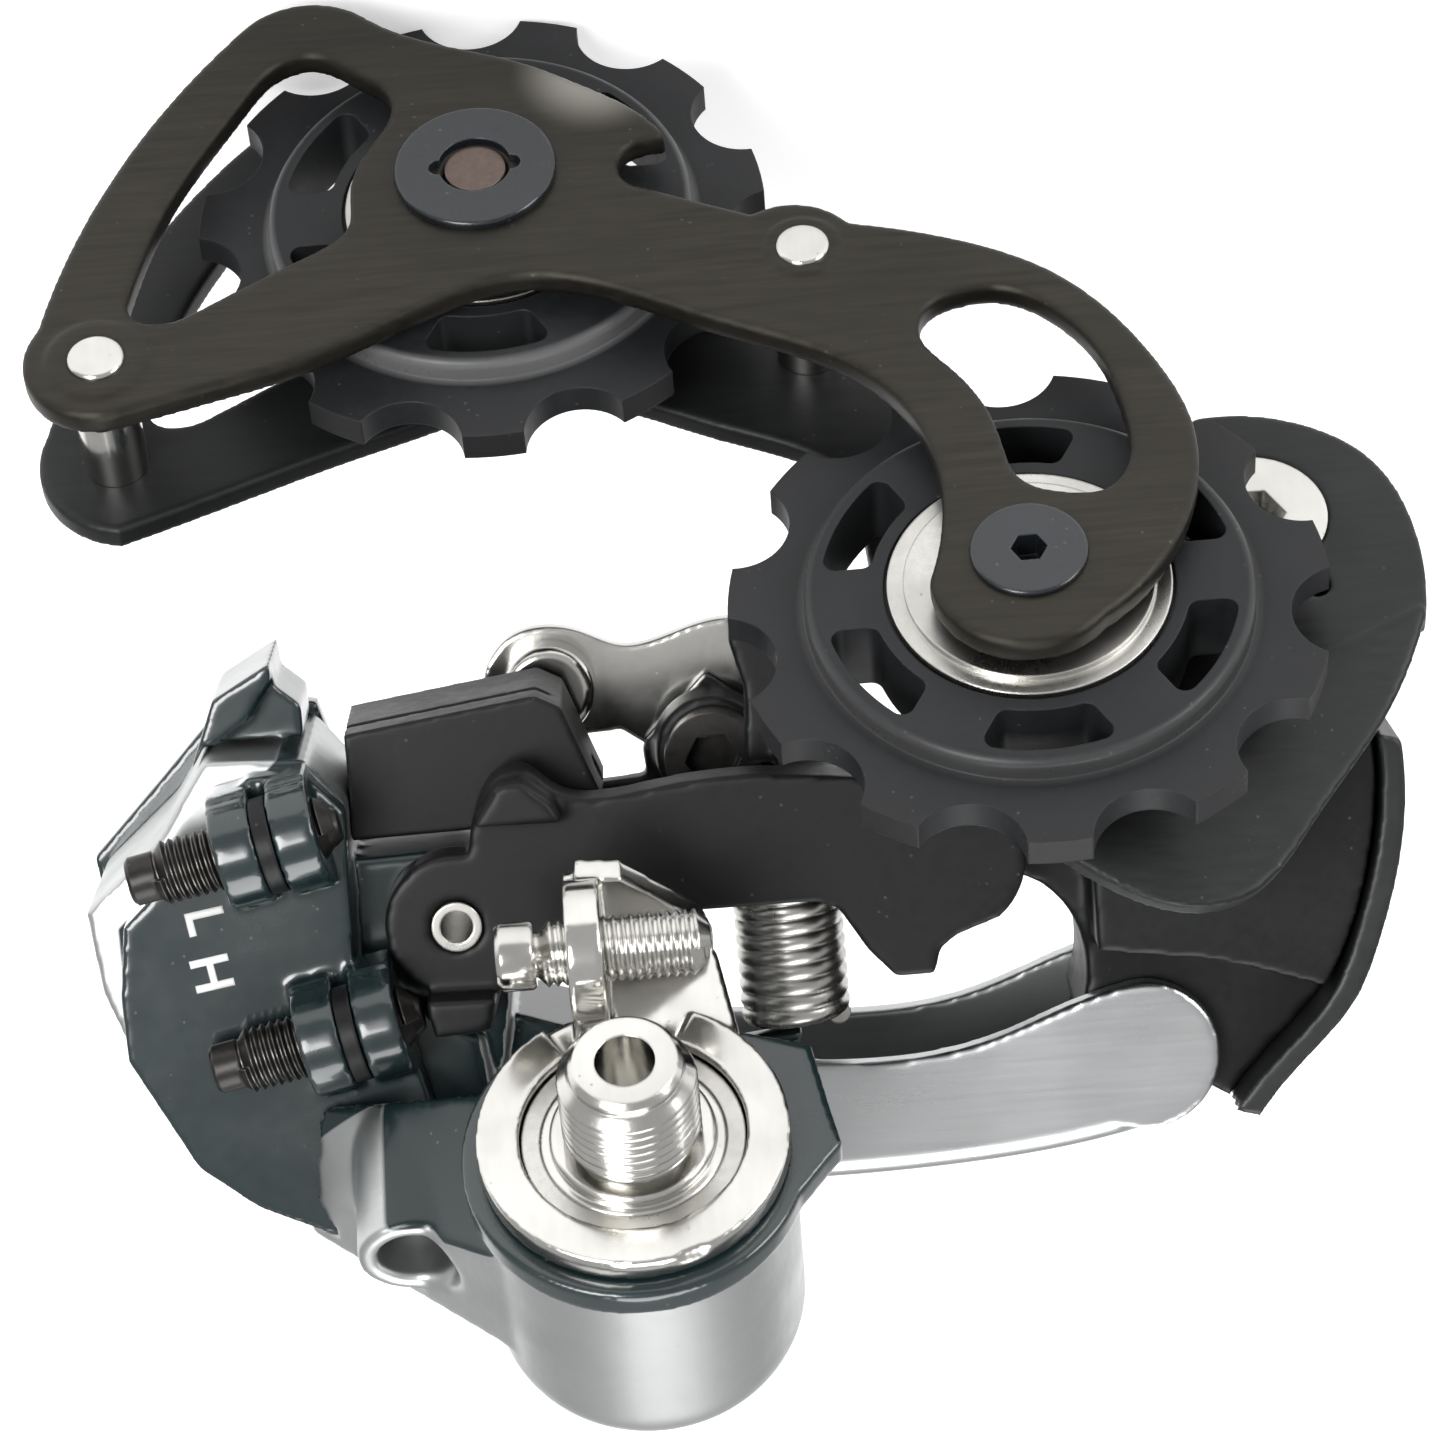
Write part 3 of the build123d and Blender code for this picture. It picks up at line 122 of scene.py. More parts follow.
def clean(obj):
    """Joins touching vertices and turns the normals outward."""
    only(obj)
    bpy.ops.object.mode_set(mode="EDIT")
    bpy.ops.mesh.select_all(action="SELECT")
    bpy.ops.mesh.remove_doubles(threshold=MERGE)
    bpy.ops.mesh.normals_make_consistent(inside=False)
    bpy.ops.object.mode_set(mode="OBJECT")


def place(obj, matrix):
    """Moves an object and bakes the move into its mesh."""
    only(obj)
    obj.matrix_world = matrix
    bpy.ops.object.transform_apply(location=True, rotation=True, scale=True)


def modify(obj, kind, **settings):
    """Adds one modifier and applies it."""
    only(obj)
    bpy.ops.object.modifier_add(type=kind)
    modifier = obj.modifiers[-1]
    for key, value in settings.items():
        setattr(modifier, key, value)
    bpy.ops.object.modifier_apply(modifier=modifier.name)


def join(target, *others):
    """Merges other objects into the first one."""
    only(target)
    for other in others:
        other.select_set(True)
    bpy.ops.object.join()
    return target


def tell(obj):
    """Prints a piece's name, how many faces it has and its size in millimetres."""
    print(obj.name, len(obj.data.polygons), "faces", [round(side / MM, 1) for side in obj.dimensions], "mm")

# %% [markdown]
# ## Node helpers
# A material's nodes could be added one by one in the Shader Editor. The same few kinds come back again
# and again, so each has a helper that adds the node, fills it in and gives back its output. An effect
# that several finishes share is a node group, built once, that puts out only masks, values or normals.

# %% Groups, maths and noise
def group(name, inputs, outputs):
    """A new shader node group with float or vector sockets."""
    tree = bpy.data.node_groups.new(name, "ShaderNodeTree")
    for label, kind, value in inputs:
        socket = tree.interface.new_socket(label, in_out="INPUT", socket_type="NodeSocket" + kind)
        socket.default_value = value
    for label, kind in outputs:
        tree.interface.new_socket(label, in_out="OUTPUT", socket_type="NodeSocket" + kind)
    return tree, tree.nodes.new("NodeGroupInput"), tree.nodes.new("NodeGroupOutput")


def math_node(tree, operation, a, b=None, clamp=False):
    """A maths node fed by sockets or numbers."""
    node = tree.nodes.new("ShaderNodeMath")
    node.operation = operation
    node.use_clamp = clamp
    for index, value in enumerate((a, b)):
        if value is None:
            continue
        if isinstance(value, (int, float)):
            node.inputs[index].default_value = value
        else:
            tree.links.new(value, node.inputs[index])
    return node.outputs[0]


def vector_node(tree, operation, a, b=None, out=0):
    """A vector maths node fed by sockets or vectors."""
    node = tree.nodes.new("ShaderNodeVectorMath")
    node.operation = operation
    for index, value in enumerate((a, b)):
        if value is None:
            continue
        if isinstance(value, (tuple, Vector)):
            node.inputs[index].default_value = value
        else:
            tree.links.new(value, node.inputs[index])
    return node.outputs[out]


def noise_node(tree, vector, scale, detail=3.0, roughness=0.55):
    """Noise on a vector, in features per metre."""
    node = tree.nodes.new("ShaderNodeTexNoise")
    node.inputs["Scale"].default_value = scale
    node.inputs["Detail"].default_value = detail
    node.inputs["Roughness"].default_value = roughness
    tree.links.new(vector, node.inputs["Vector"])
    return node.outputs[0]


def remap(tree, value, low, high):
    """Turns the stretch from low to high into a smooth step from 0 to 1."""
    node = tree.nodes.new("ShaderNodeMapRange")
    node.interpolation_type = "SMOOTHSTEP"
    tree.links.new(value, node.inputs["Value"])
    node.inputs["From Min"].default_value = low
    node.inputs["From Max"].default_value = high
    return node.outputs[0]

# %% [markdown]
# ## Rounded edges and wear
# No real edge is perfectly sharp, and handling wears a coating off its corners first. Every edge could be
# bevelled in the mesh. A Bevel node rounds them in the shading alone, and where its normal differs from
# the surface's own there is a corner, so the same node also says where wear belongs. Noise makes it
# patchy.

# %% Group: rounded edges
edges, given, result = group("Rounded Edges", [("Radius", "Float", 0.0003), ("Wear", "Float", 0.5)],
                             [("Normal", "Vector"), ("Edge", "Float")])
bevel = edges.nodes.new("ShaderNodeBevel")
bevel.samples = 6
edges.links.new(given.outputs["Radius"], bevel.inputs["Radius"])
shape = edges.nodes.new("ShaderNodeNewGeometry")
here = edges.nodes.new("ShaderNodeTexCoord").outputs["Object"]
facing = vector_node(edges, "DOT_PRODUCT", bevel.outputs[0], shape.outputs["Normal"], out=1)
roll = math_node(edges, "SUBTRACT", 1.0, facing)
patchy = noise_node(edges, here, 420, 5)
amount = math_node(edges, "MULTIPLY", remap(edges, roll, 0.01, 0.16), remap(edges, patchy, 0.3, 0.62))
edges.links.new(bevel.outputs[0], result.inputs["Normal"])
edges.links.new(math_node(edges, "MULTIPLY", amount, given.outputs["Wear"], clamp=True),
                result.inputs["Edge"])
print("made", edges.name)

# %% [markdown]
# ## Brushed grain
# Rolled or brushed metal has fine lines along one direction, and moulded plastic an even fine texture. An
# image could show them, but noise stretched on Object coordinates has no seams and needs no unwrapping.

# %% Group: grain
grain, given, result = group("Brushed Grain", [("Stretch", "Vector", (60, 2500, 2500)),
                                               ("Turn", "Vector", (0, 0, 0))], [("Value", "Float")])
mapping = grain.nodes.new("ShaderNodeMapping")
grain.links.new(grain.nodes.new("ShaderNodeTexCoord").outputs["Object"], mapping.inputs["Vector"])
grain.links.new(given.outputs["Turn"], mapping.inputs["Rotation"])
grain.links.new(given.outputs["Stretch"], mapping.inputs["Scale"])
grain.links.new(noise_node(grain, mapping.outputs[0], 1.0, 4, 0.6), result.inputs["Value"])
print("made", grain.name)

# %% [markdown]
# ## Smudges and dust
# Fingers leave broad dull patches, and dust settles as specks. One broad noise gives the patches. A cell
# pattern has a dot in every cell, which would look like a print, so a second noise lets only some
# through.

# %% Group: handling
smudge, given, result = group("Handling", [("Size", "Float", 90.0)],
                              [("Smudge", "Float"), ("Specks", "Float")])
here = smudge.nodes.new("ShaderNodeTexCoord").outputs["Object"]
broad = smudge.nodes.new("ShaderNodeTexNoise")
broad.inputs["Detail"].default_value = 4
smudge.links.new(here, broad.inputs["Vector"])
smudge.links.new(given.outputs["Size"], broad.inputs["Scale"])
smudge.links.new(remap(smudge, broad.outputs[0], 0.36, 0.68), result.inputs["Smudge"])
cells = smudge.nodes.new("ShaderNodeTexVoronoi")
cells.inputs["Scale"].default_value = 900
smudge.links.new(here, cells.inputs["Vector"])
near_cell = remap(smudge, cells.outputs["Distance"], 0.16, 0.06)
rare = remap(smudge, noise_node(smudge, here, 260, 2), 0.56, 0.62)
smudge.links.new(math_node(smudge, "MULTIPLY", near_cell, rare), result.inputs["Specks"])
print("made", smudge.name)

# %% [markdown]
# ## Bands and rings
# Paint stops at a line, and wear on a turning pulley is a ring. Both could be painted on the mesh by
# hand. A measured mask says where they lie and stays sharp from near by. A band lies between two
# distances along a direction, and a ring lies at one radius about an axle that points at the wheel.

# %% Group: band
band, given, result = group("Band", [("Direction", "Vector", (0, 0, 1)), ("Low", "Float", 0.0),
                                     ("High", "Float", 1.0), ("Soft", "Float", 0.0001)], [("Mask", "Float")])
here = band.nodes.new("ShaderNodeTexCoord").outputs["Object"]
along = vector_node(band, "DOT_PRODUCT", here, given.outputs["Direction"], out=1)
rise = math_node(band, "DIVIDE", math_node(band, "SUBTRACT", along, given.outputs["Low"]),
                 given.outputs["Soft"], True)
fall = math_node(band, "DIVIDE", math_node(band, "SUBTRACT", given.outputs["High"], along),
                 given.outputs["Soft"], True)
band.links.new(math_node(band, "MULTIPLY", rise, fall), result.inputs["Mask"])
print("made", band.name)

# %% Group: ring
ring, given, result = group("Ring", [("Centre", "Vector", (0, 0, 0)), ("Radius", "Float", 0.01),
                                     ("Width", "Float", 0.001)], [("Mask", "Float")])
here = ring.nodes.new("ShaderNodeTexCoord").outputs["Object"]
flat = vector_node(ring, "MULTIPLY", vector_node(ring, "SUBTRACT", here, given.outputs["Centre"]), (1, 0, 1))
reach = vector_node(ring, "LENGTH", flat, out=1)
off = math_node(ring, "ABSOLUTE", math_node(ring, "SUBTRACT", reach, given.outputs["Radius"]))
ring.links.new(math_node(ring, "SUBTRACT", 1.0, math_node(ring, "DIVIDE", off, given.outputs["Width"]), True),
               result.inputs["Mask"])
print("made", ring.name)

# %% [markdown]
# ## One recipe for every finish
# Each finish here has a base colour with a second tint in its grain, dull smudges, worn corners, specks
# of dust and a faint bump. Eighteen materials written out in full would hide what sets them apart, so one
# function holds the recipe and each finish gives only its own values. A value that is the same all over
# the piece is set on the shader's own socket, and only what changes over the surface is linked.

# %% Use and mix effects
def use(tree, group_tree, **values):
    """One use of a shared effect."""
    node = tree.nodes.new("ShaderNodeGroup")
    node.node_tree = group_tree
    for label, value in values.items():
        node.inputs[label].default_value = value
    return node


def blend_colour(tree, factor, a, b):
    """Mixes two colours, each a socket or an RGB triple."""
    node = tree.nodes.new("ShaderNodeMix")
    node.data_type = "RGBA"
    tree.links.new(factor, node.inputs["Factor"])
    for label, value in (("A", a), ("B", b)):
        socket = [s for s in node.inputs if s.name == label and s.type == "RGBA"][0]
        if isinstance(value, tuple):
            socket.default_value = (*value, 1)
        else:
            tree.links.new(value, socket)
    return [s for s in node.outputs if s.type == "RGBA"][0]


def blend_value(tree, factor, a, b):
    """Mixes two numbers, each a socket or a constant."""
    return math_node(tree, "ADD", math_node(tree, "MULTIPLY", math_node(tree, "SUBTRACT", 1.0, factor), a),
                     math_node(tree, "MULTIPLY", factor, b))

# %% The recipe
SMUDGES_PER_METRE = 110.0
SMUDGE_TINT = 0.35
SMUDGE_DULL = 0.08
DUST_DULL = 0.3
GRAIN_STRENGTH = 0.6
COAT_ROUGH = 0.08


def surface(name, base, tint, rough, metal=1.0, stretch=(900, 900, 900), turn=(0, 0, 0),
            grain_depth=0.00001, shine=0.5, grain_rough=0.12, wear=0.4, worn=(0.5, 0.49, 0.46),
            worn_rough=0.25, radius=0.3, coat=0.0, dust=(0.2, 0.19, 0.17), dust_amount=0.2, extra=None):
    """A finish with grain, smudges, dust and worn edges. base and tint are its two colours."""
    material = bpy.data.materials.new(name)
    material.use_nodes = True
    tree = material.node_tree
    shader = tree.nodes["Principled BSDF"]
    edge = use(tree, edges, Radius=radius * MM, Wear=wear)
    lines = use(tree, grain, Stretch=stretch, Turn=turn)
    hand = use(tree, smudge, Size=SMUDGES_PER_METRE)
    colour = blend_colour(tree, lines.outputs["Value"], base, tint)
    colour = blend_colour(tree, math_node(tree, "MULTIPLY", hand.outputs["Smudge"], SMUDGE_TINT), colour,
                          tuple(0.6 * v for v in tint))
    roughness = math_node(tree, "ADD", rough - grain_rough / 2,
                          math_node(tree, "MULTIPLY", lines.outputs["Value"], grain_rough))
    dulled = math_node(tree, "MULTIPLY", hand.outputs["Smudge"], SMUDGE_DULL)
    roughness = math_node(tree, "ADD", roughness, dulled)
    metallic = metal
    if extra:
        colour, roughness, metallic = extra(tree, colour, roughness, metallic)
    colour = blend_colour(tree, edge.outputs["Edge"], colour, worn)
    roughness = blend_value(tree, edge.outputs["Edge"], roughness, worn_rough)
    if metallic not in (0.0, 1.0):
        metallic = blend_value(tree, edge.outputs["Edge"], metallic, 1.0)
    specks = math_node(tree, "MULTIPLY", hand.outputs["Specks"], dust_amount)
    colour = blend_colour(tree, specks, colour, dust)
    roughness = math_node(tree, "ADD", roughness, math_node(tree, "MULTIPLY", specks, DUST_DULL), True)
    tree.links.new(colour, shader.inputs["Base Color"])
    tree.links.new(roughness, shader.inputs["Roughness"])
    if metallic in (0.0, 1.0):
        shader.inputs["Metallic"].default_value = metallic
    else:
        tree.links.new(metallic, shader.inputs["Metallic"])
    shader.inputs["Specular IOR Level"].default_value = shine
    shader.inputs["Coat Weight"].default_value = coat
    shader.inputs["Coat Roughness"].default_value = COAT_ROUGH
    bump = tree.nodes.new("ShaderNodeBump")
    bump.inputs["Strength"].default_value = GRAIN_STRENGTH
    bump.inputs["Distance"].default_value = grain_depth
    tree.links.new(lines.outputs["Value"], bump.inputs["Height"])
    tree.links.new(edge.outputs["Normal"], bump.inputs["Normal"])
    tree.links.new(bump.outputs[0], shader.inputs["Normal"])
    return material


looks = {}

# %% [markdown]
# ## Pulley plastic
# Both pulleys are moulded in dark plastic. The chain rubs their teeth a little lighter, and the side of
# the disc wears a smooth ring. Two rings about the pulley's own axle put both where the chain runs.

# %% Pulley plastic
TEETH_AT, TEETH_WIDTH = 23.6 * MM, 3.2 * MM
RUB_AT, RUB_WIDTH = 17.6 * MM, 0.7 * MM


def pulley_finish(centre, ring_wear):
    """Moulded plastic with a rubbed ring and chain wear on the teeth."""
    def layers(tree, colour, roughness, metallic):
        teeth = use(tree, ring, Centre=centre, Radius=TEETH_AT, Width=TEETH_WIDTH)
        rub = use(tree, ring, Centre=centre, Radius=RUB_AT, Width=RUB_WIDTH)
        colour = blend_colour(tree, math_node(tree, "MULTIPLY", teeth.outputs["Mask"], 0.55), colour,
                              (0.016, 0.016, 0.017))
        colour = blend_colour(tree, math_node(tree, "MULTIPLY", rub.outputs["Mask"], ring_wear), colour,
                              (0.14, 0.14, 0.14))
        smoother = math_node(tree, "MULTIPLY", rub.outputs["Mask"], 0.15)
        return colour, math_node(tree, "SUBTRACT", roughness, smoother), metallic
    return layers


PLASTIC = dict(metal=0.0, shine=0.25, stretch=(1500, 1500, 1500), grain_depth=0.00002, grain_rough=0.2,
               wear=0.35, worn=(0.04, 0.04, 0.04), worn_rough=0.4, radius=0.25,
               dust=(0.15, 0.14, 0.13), dust_amount=0.25)
looks["guide_plastic"] = surface("guide plastic", (0.009, 0.0095, 0.0105), (0.017, 0.018, 0.0195), 0.44,
    extra=pulley_finish(GUIDE, 0.25), **PLASTIC)
looks["tension_plastic"] = surface("tension plastic", (0.009, 0.0095, 0.0105), (0.017, 0.018, 0.0195),
    0.44, extra=pulley_finish(TENSION, 0.8), **PLASTIC)
print(len(looks), "finishes so far")

# %% [markdown]
# ## Cage plates
# The plate towards the wheel is anodised brown black with a glossy edge, and the outer plate is satin
# dark grey. Their grain runs along the plate, as it did in the rolled sheet that they were pressed from.
# The chain has rubbed a spot beside the lower pulley. A soft spot fits it better than a band, because it
# has no line.

# %% Cage plates
LIP_AT = TENSION + Vector((10.5, 0, -10.5)) * MM
LIP_REACH = 7.5 * MM


def plate_lip(tree, colour, roughness, metallic):
    """Polished lip where the chain rubs the inner plate beside the tension pulley."""
    spot = use(tree, ring, Centre=LIP_AT, Radius=0.0, Width=LIP_REACH)
    mask = math_node(tree, "MULTIPLY", remap(tree, spot.outputs["Mask"], 0.0, 0.8), 0.6)
    rubbed = blend_colour(tree, mask, colour, (0.42, 0.4, 0.36))
    return rubbed, blend_value(tree, mask, roughness, 0.2), metallic


looks["inner_plate"] = surface("brown black anodised", (0.012, 0.0105, 0.008), (0.045, 0.041, 0.033),
    0.36, 0.75, (120, 1500, 1900), (0, math.radians(-35), 0), grain_depth=0.000012, grain_rough=0.18,
    wear=0.8, worn=(0.006, 0.0055, 0.0045), worn_rough=0.14, radius=0.9, extra=plate_lip)
looks["outer_plate"] = surface("satin dark grey", (0.010, 0.0105, 0.011), (0.026, 0.027, 0.028), 0.42,
    0.6, (160, 1500, 1700), (0, math.radians(-30), 0), grain_depth=0.000012, grain_rough=0.15, wear=0.3,
    worn=(0.1, 0.1, 0.095), worn_rough=0.25, radius=0.35)
print(len(looks), "finishes so far")

# %% [markdown]
# ## Bright and blackened metals
# Bolts, screws and pins are nickel plated, turned or blackened steel. The bright ones show what they
# reflect, so they differ mostly in how rough they are and in which way their grain runs. One bolt's end
# has the brown traces of its thread lock.

# %% Metals
looks["chrome"] = surface("bright nickel", (0.68, 0.67, 0.64), (0.58, 0.57, 0.54), 0.12, 1.0,
    (1300, 1300, 240), grain_depth=0.000004, grain_rough=0.08, wear=0.15, worn=(0.9, 0.89, 0.86),
    worn_rough=0.1, radius=0.35, dust=(0.1, 0.09, 0.08), dust_amount=0.4)
looks["steel"] = surface("turned steel", (0.62, 0.61, 0.58), (0.48, 0.47, 0.44), 0.26, 1.0,
    (1500, 300, 1500), grain_depth=0.000008, wear=0.2, worn=(0.8, 0.79, 0.76), worn_rough=0.15,
    radius=0.25, dust=(0.12, 0.1, 0.08), dust_amount=0.4)
looks["dark_steel"] = surface("blackened steel", (0.022, 0.021, 0.02), (0.05, 0.047, 0.045), 0.34, 0.9,
    (1500, 1500, 1500), grain_depth=0.00001, wear=0.5, worn=(0.3, 0.29, 0.27), worn_rough=0.25,
    radius=0.2)
looks["silver"] = surface("satin alloy", (0.66, 0.67, 0.67), (0.54, 0.55, 0.55), 0.27, 1.0,
    (500, 500, 1700), grain_depth=0.000012, wear=0.2, worn=(0.85, 0.85, 0.84), worn_rough=0.15,
    radius=0.4, dust=(0.1, 0.1, 0.1), dust_amount=0.3)
looks["black_nut"] = surface("black steel washer", (0.008, 0.010, 0.013), (0.014, 0.017, 0.021), 0.22,
    0.3, (900, 900, 900), grain_depth=0.000006, wear=0.3, worn=(0.12, 0.13, 0.14), worn_rough=0.2,
    radius=0.3, coat=0.4)
looks["thread_lock"] = surface("bolt end with thread lock", (0.07, 0.03, 0.025), (0.16, 0.13, 0.11), 0.38,
    0.6, (1500, 1500, 1500), wear=0.3, worn=(0.4, 0.38, 0.35))
looks["bronze"] = surface("sintered bronze", (0.45, 0.33, 0.18), (0.32, 0.23, 0.12), 0.42, 1.0, wear=0.1)
print(len(looks), "finishes so far")

# %% [markdown]
# ## Painted alloy
# The upper knuckle is one casting with two finishes: gloss green black paint towards the wheel and bare
# satin alloy elsewhere. It could be split into two meshes, but then the line between them would show as a
# seam. So a mask picks the painted side by the way that the surface faces. Bands end the paint at the
# bare ledge and at the cable boss, and carry it over the hook. The outer link is alike: bare outside and
# black in its hollow.

# %% Two finishes on one casting
FAR = 1.0
SHARP, SOFTER = 0.2 * MM, 0.3 * MM
PAINT = (0.007, 0.0155, 0.0165)
HOLLOW_BLACK = (0.012, 0.012, 0.013)
HOLLOW_LOW, HOLLOW_HIGH, HOLLOW_TOP = -43.9 * MM, -29.1 * MM, -11.3 * MM
TO_WHEEL = Vector((-0.2, 0.85, 0.1))
LEDGE_ACROSS = AHEAD * -0.674 + DOWN * 0.739
LEDGE_AT, LEDGE_BACK = 37.1 * MM, -40.2 * MM
BOSS_BELOW, BOSS_ABOVE = -11.8 * MM, -13.0 * MM
HOOK_FROM = 29.5 * MM


def link_inside(tree, colour, roughness, metallic):
    """Gloss black paint in the hollow of the outer link."""
    between = use(tree, band, Direction=PINS, Low=HOLLOW_LOW, High=HOLLOW_HIGH, Soft=SHARP)
    behind = use(tree, band, Direction=DOWN, Low=HOLLOW_TOP, High=FAR, Soft=SOFTER)
    mask = math_node(tree, "MULTIPLY", between.outputs["Mask"], behind.outputs["Mask"])
    return (blend_colour(tree, mask, colour, HOLLOW_BLACK), blend_value(tree, mask, roughness, 0.3),
            blend_value(tree, mask, metallic, 0.0))


def knuckle_paint(tree, colour, roughness, metallic):
    """Gloss paint where the upper knuckle faces the wheel and on its hook, but not round the cable boss."""
    normal = tree.nodes.new("ShaderNodeTexCoord").outputs["Normal"]
    inboard = vector_node(tree, "DOT_PRODUCT", normal, TO_WHEEL, out=1)
    left = use(tree, band, Direction=LEDGE_ACROSS, Low=-FAR, High=LEDGE_AT, Soft=SHARP)
    edge = use(tree, band, Direction=AHEAD, Low=LEDGE_BACK, High=FAR, Soft=SHARP)
    inside = math_node(tree, "MULTIPLY", left.outputs["Mask"], edge.outputs["Mask"])
    deep = use(tree, band, Direction=Vector((0, 1, 0)), Low=-FAR, High=BOSS_BELOW, Soft=SHARP)
    high = use(tree, band, Direction=Vector((0, 0, 1)), Low=BOSS_ABOVE, High=FAR, Soft=SHARP)
    cable_boss = math_node(tree, "MULTIPLY", deep.outputs["Mask"], high.outputs["Mask"])
    inside = math_node(tree, "MULTIPLY", inside, math_node(tree, "SUBTRACT", 1.0, cable_boss))
    outline = math_node(tree, "MULTIPLY", remap(tree, inboard, 0.34, 0.44), inside)
    hook = use(tree, band, Direction=DOWN, Low=HOOK_FROM, High=FAR, Soft=SHARP)
    outline = math_node(tree, "MAXIMUM", outline, hook.outputs["Mask"])
    return (blend_colour(tree, outline, colour, PAINT), blend_value(tree, outline, roughness, 0.2),
            blend_value(tree, outline, metallic, 0.0))


looks["knuckle"] = surface("painted and satin alloy", (0.56, 0.57, 0.57), (0.47, 0.48, 0.48), 0.34, 1.0,
    (500, 500, 1700), grain_depth=0.00001, wear=0.12, worn=(0.7, 0.7, 0.7), worn_rough=0.15, radius=0.4,
    dust=(0.3, 0.3, 0.3), dust_amount=0.2, extra=knuckle_paint)
looks["link_silver"] = surface("polished alloy", (0.58, 0.59, 0.595), (0.46, 0.47, 0.475), 0.28, 1.0,
    (90, 2200, 2200), grain_depth=0.00001, grain_rough=0.14, wear=0.15, worn=(0.75, 0.75, 0.74),
    worn_rough=0.15, radius=0.35, extra=link_inside)
print(len(looks), "finishes so far")

# %% [markdown]
# ## Black paint, rubber and marks
# The separate painted parts of the upper knuckle share its gloss. The inner link and the lower knuckle
# are matte black, and the lower knuckle's wall is a satin grey that wears bright on its rim. Black
# surfaces could all share one material, but their different gloss is what tells them apart. Soft seals
# and the white of two letters end the list.

# %% Paints and rubber
looks["paint"] = surface("green black gloss", PAINT, (0.009, 0.0185, 0.0195), 0.2, 0.0, (700, 700, 700),
    grain_depth=0.000006, grain_rough=0.1, wear=0.3, worn=(0.12, 0.13, 0.13), worn_rough=0.3, radius=0.35,
    coat=0.6)
looks["matte"] = surface("matte black", (0.003, 0.0032, 0.0038), (0.007, 0.0073, 0.008), 0.4, 0.0,
    (1100, 1100, 1100), shine=0.25, grain_depth=0.00002, grain_rough=0.2, wear=0.3,
    worn=(0.03, 0.03, 0.032), worn_rough=0.3, radius=0.35)
looks["cover"] = surface("satin grey paint", (0.012, 0.0125, 0.013), (0.02, 0.021, 0.022), 0.36, 0.3,
    (900, 900, 900), grain_depth=0.000015, wear=0.8, worn=(0.55, 0.55, 0.53), worn_rough=0.2, radius=0.4)
looks["rubber"] = surface("soft seal", (0.014, 0.014, 0.014), (0.022, 0.022, 0.022), 0.62, 0.0, wear=0.1,
    worn=(0.05, 0.05, 0.05), worn_rough=0.6)
looks["mark"] = surface("white paint", (0.75, 0.76, 0.74), (0.66, 0.67, 0.65), 0.45, 0.0, wear=0.0)
print(len(looks), "finishes in all")

# %% [markdown]
# ## Dress the CAD pieces
# Pins, bushes, caps and pulleys are turned or moulded with crisp edges, so their CAD shapes are kept.
# Each keeps the slot it came with, and only the material in the slot is changed. Pieces that are made
# again below are dressed too, so that either version has its finish.

# %% Dress and paint
def dress(look, *names):
    """Gives CAD nodes a material in the slot that they already have."""
    for name in names:
        for slot in nodes[name].material_slots:
            slot.material = looks[look]


def paint(obj, look):
    """Gives a new piece its material."""
    obj.data.materials.clear()
    obj.data.materials.append(looks[look])


dress("guide_plastic", "guide_pulley")
dress("tension_plastic", "tension_pulley")
dress("inner_plate", "cage_inner_plate")
dress("outer_plate", "cage_outer_plate")
dress("chrome", "stop_plate", "b_tension_screw", "mounting_bolt", "cable_clamp_plate", "cable_clamp_peg",
      "p_axle", "cage_end_spacer", "cage_mid_spacer")
dress("steel", "bolt_retaining_ring", "b_spring", "p_spring", "return_spring", "guide_bush", "tension_bush",
      "guide_cap_inner", "guide_cap_outer", "tension_cap_inner", "tension_cap_outer", "cage_stop_pin",
      "rear_inner_pin", "rear_outer_pin", "front_inner_pin", "front_outer_pin", "p_axle_circlip")
dress("black_nut", "guide_bolt", "tension_flange_nut")
dress("thread_lock", "tension_bolt")
dress("dark_steel", "low_limit_screw", "high_limit_screw", "cable_clamp_bolt", "cable_clamp_nut")
dress("silver", "b_knuckle_body", "p_end_cap")
dress("link_silver", "outer_link")
dress("paint", "b_knuckle_face", "b_flange", "b_knuckle_back", "cable_stop_shell")
dress("matte", "p_knuckle_body", "inner_link", "cable_stop", "low_lug_insert", "high_lug_insert")
dress("cover", "p_knuckle_cover")
dress("bronze", "b_bush", "p_bush")
dress("rubber", "b_dust_seal", "p_seal_ring")
print("dressed", len(nodes), "pieces")

# %% [markdown]
# ## Cast, forged and pressed pieces
# A casting has rounded edges all over, where its CAD solid is sharp. Each edge could be bevelled by hand,
# but the outlines meet at odd angles and a bevel would fold over itself. A voxel remesh turns a copy of
# the solid into an even skin, and rounds of smoothing melt its edges, as a mould does. Thin plates get
# smaller voxels and fewer rounds, so that they keep their thickness.

# %% Make a casting
SMOOTHING = 0.5


def casting(name, body, slot, voxel, rounds, source, *extras):
    """A soft-edged copy of a CAD node, as a cast or forged piece has, with extra lumps melted into it."""
    obj = bpy.data.objects.new(name, nodes[source].data.copy())
    bpy.context.scene.collection.objects.link(obj)
    obj.data.materials.clear()
    clean(obj)
    if extras:
        join(obj, *extras)
    modify(obj, "REMESH", mode="VOXEL", voxel_size=voxel * MM, use_smooth_shade=True)
    modify(obj, "SMOOTH", factor=SMOOTHING, iterations=rounds)
    only(obj)
    bpy.ops.object.shade_smooth()
    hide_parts(source)
    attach(obj, body)
    tell(obj)
    return obj

# %% [markdown]
# ## Close the stop plate's ring
# The stop plate has a raised ring with one small gap that the real one lacks. A low block, melted in with
# the ring by the same remesh, closes it.

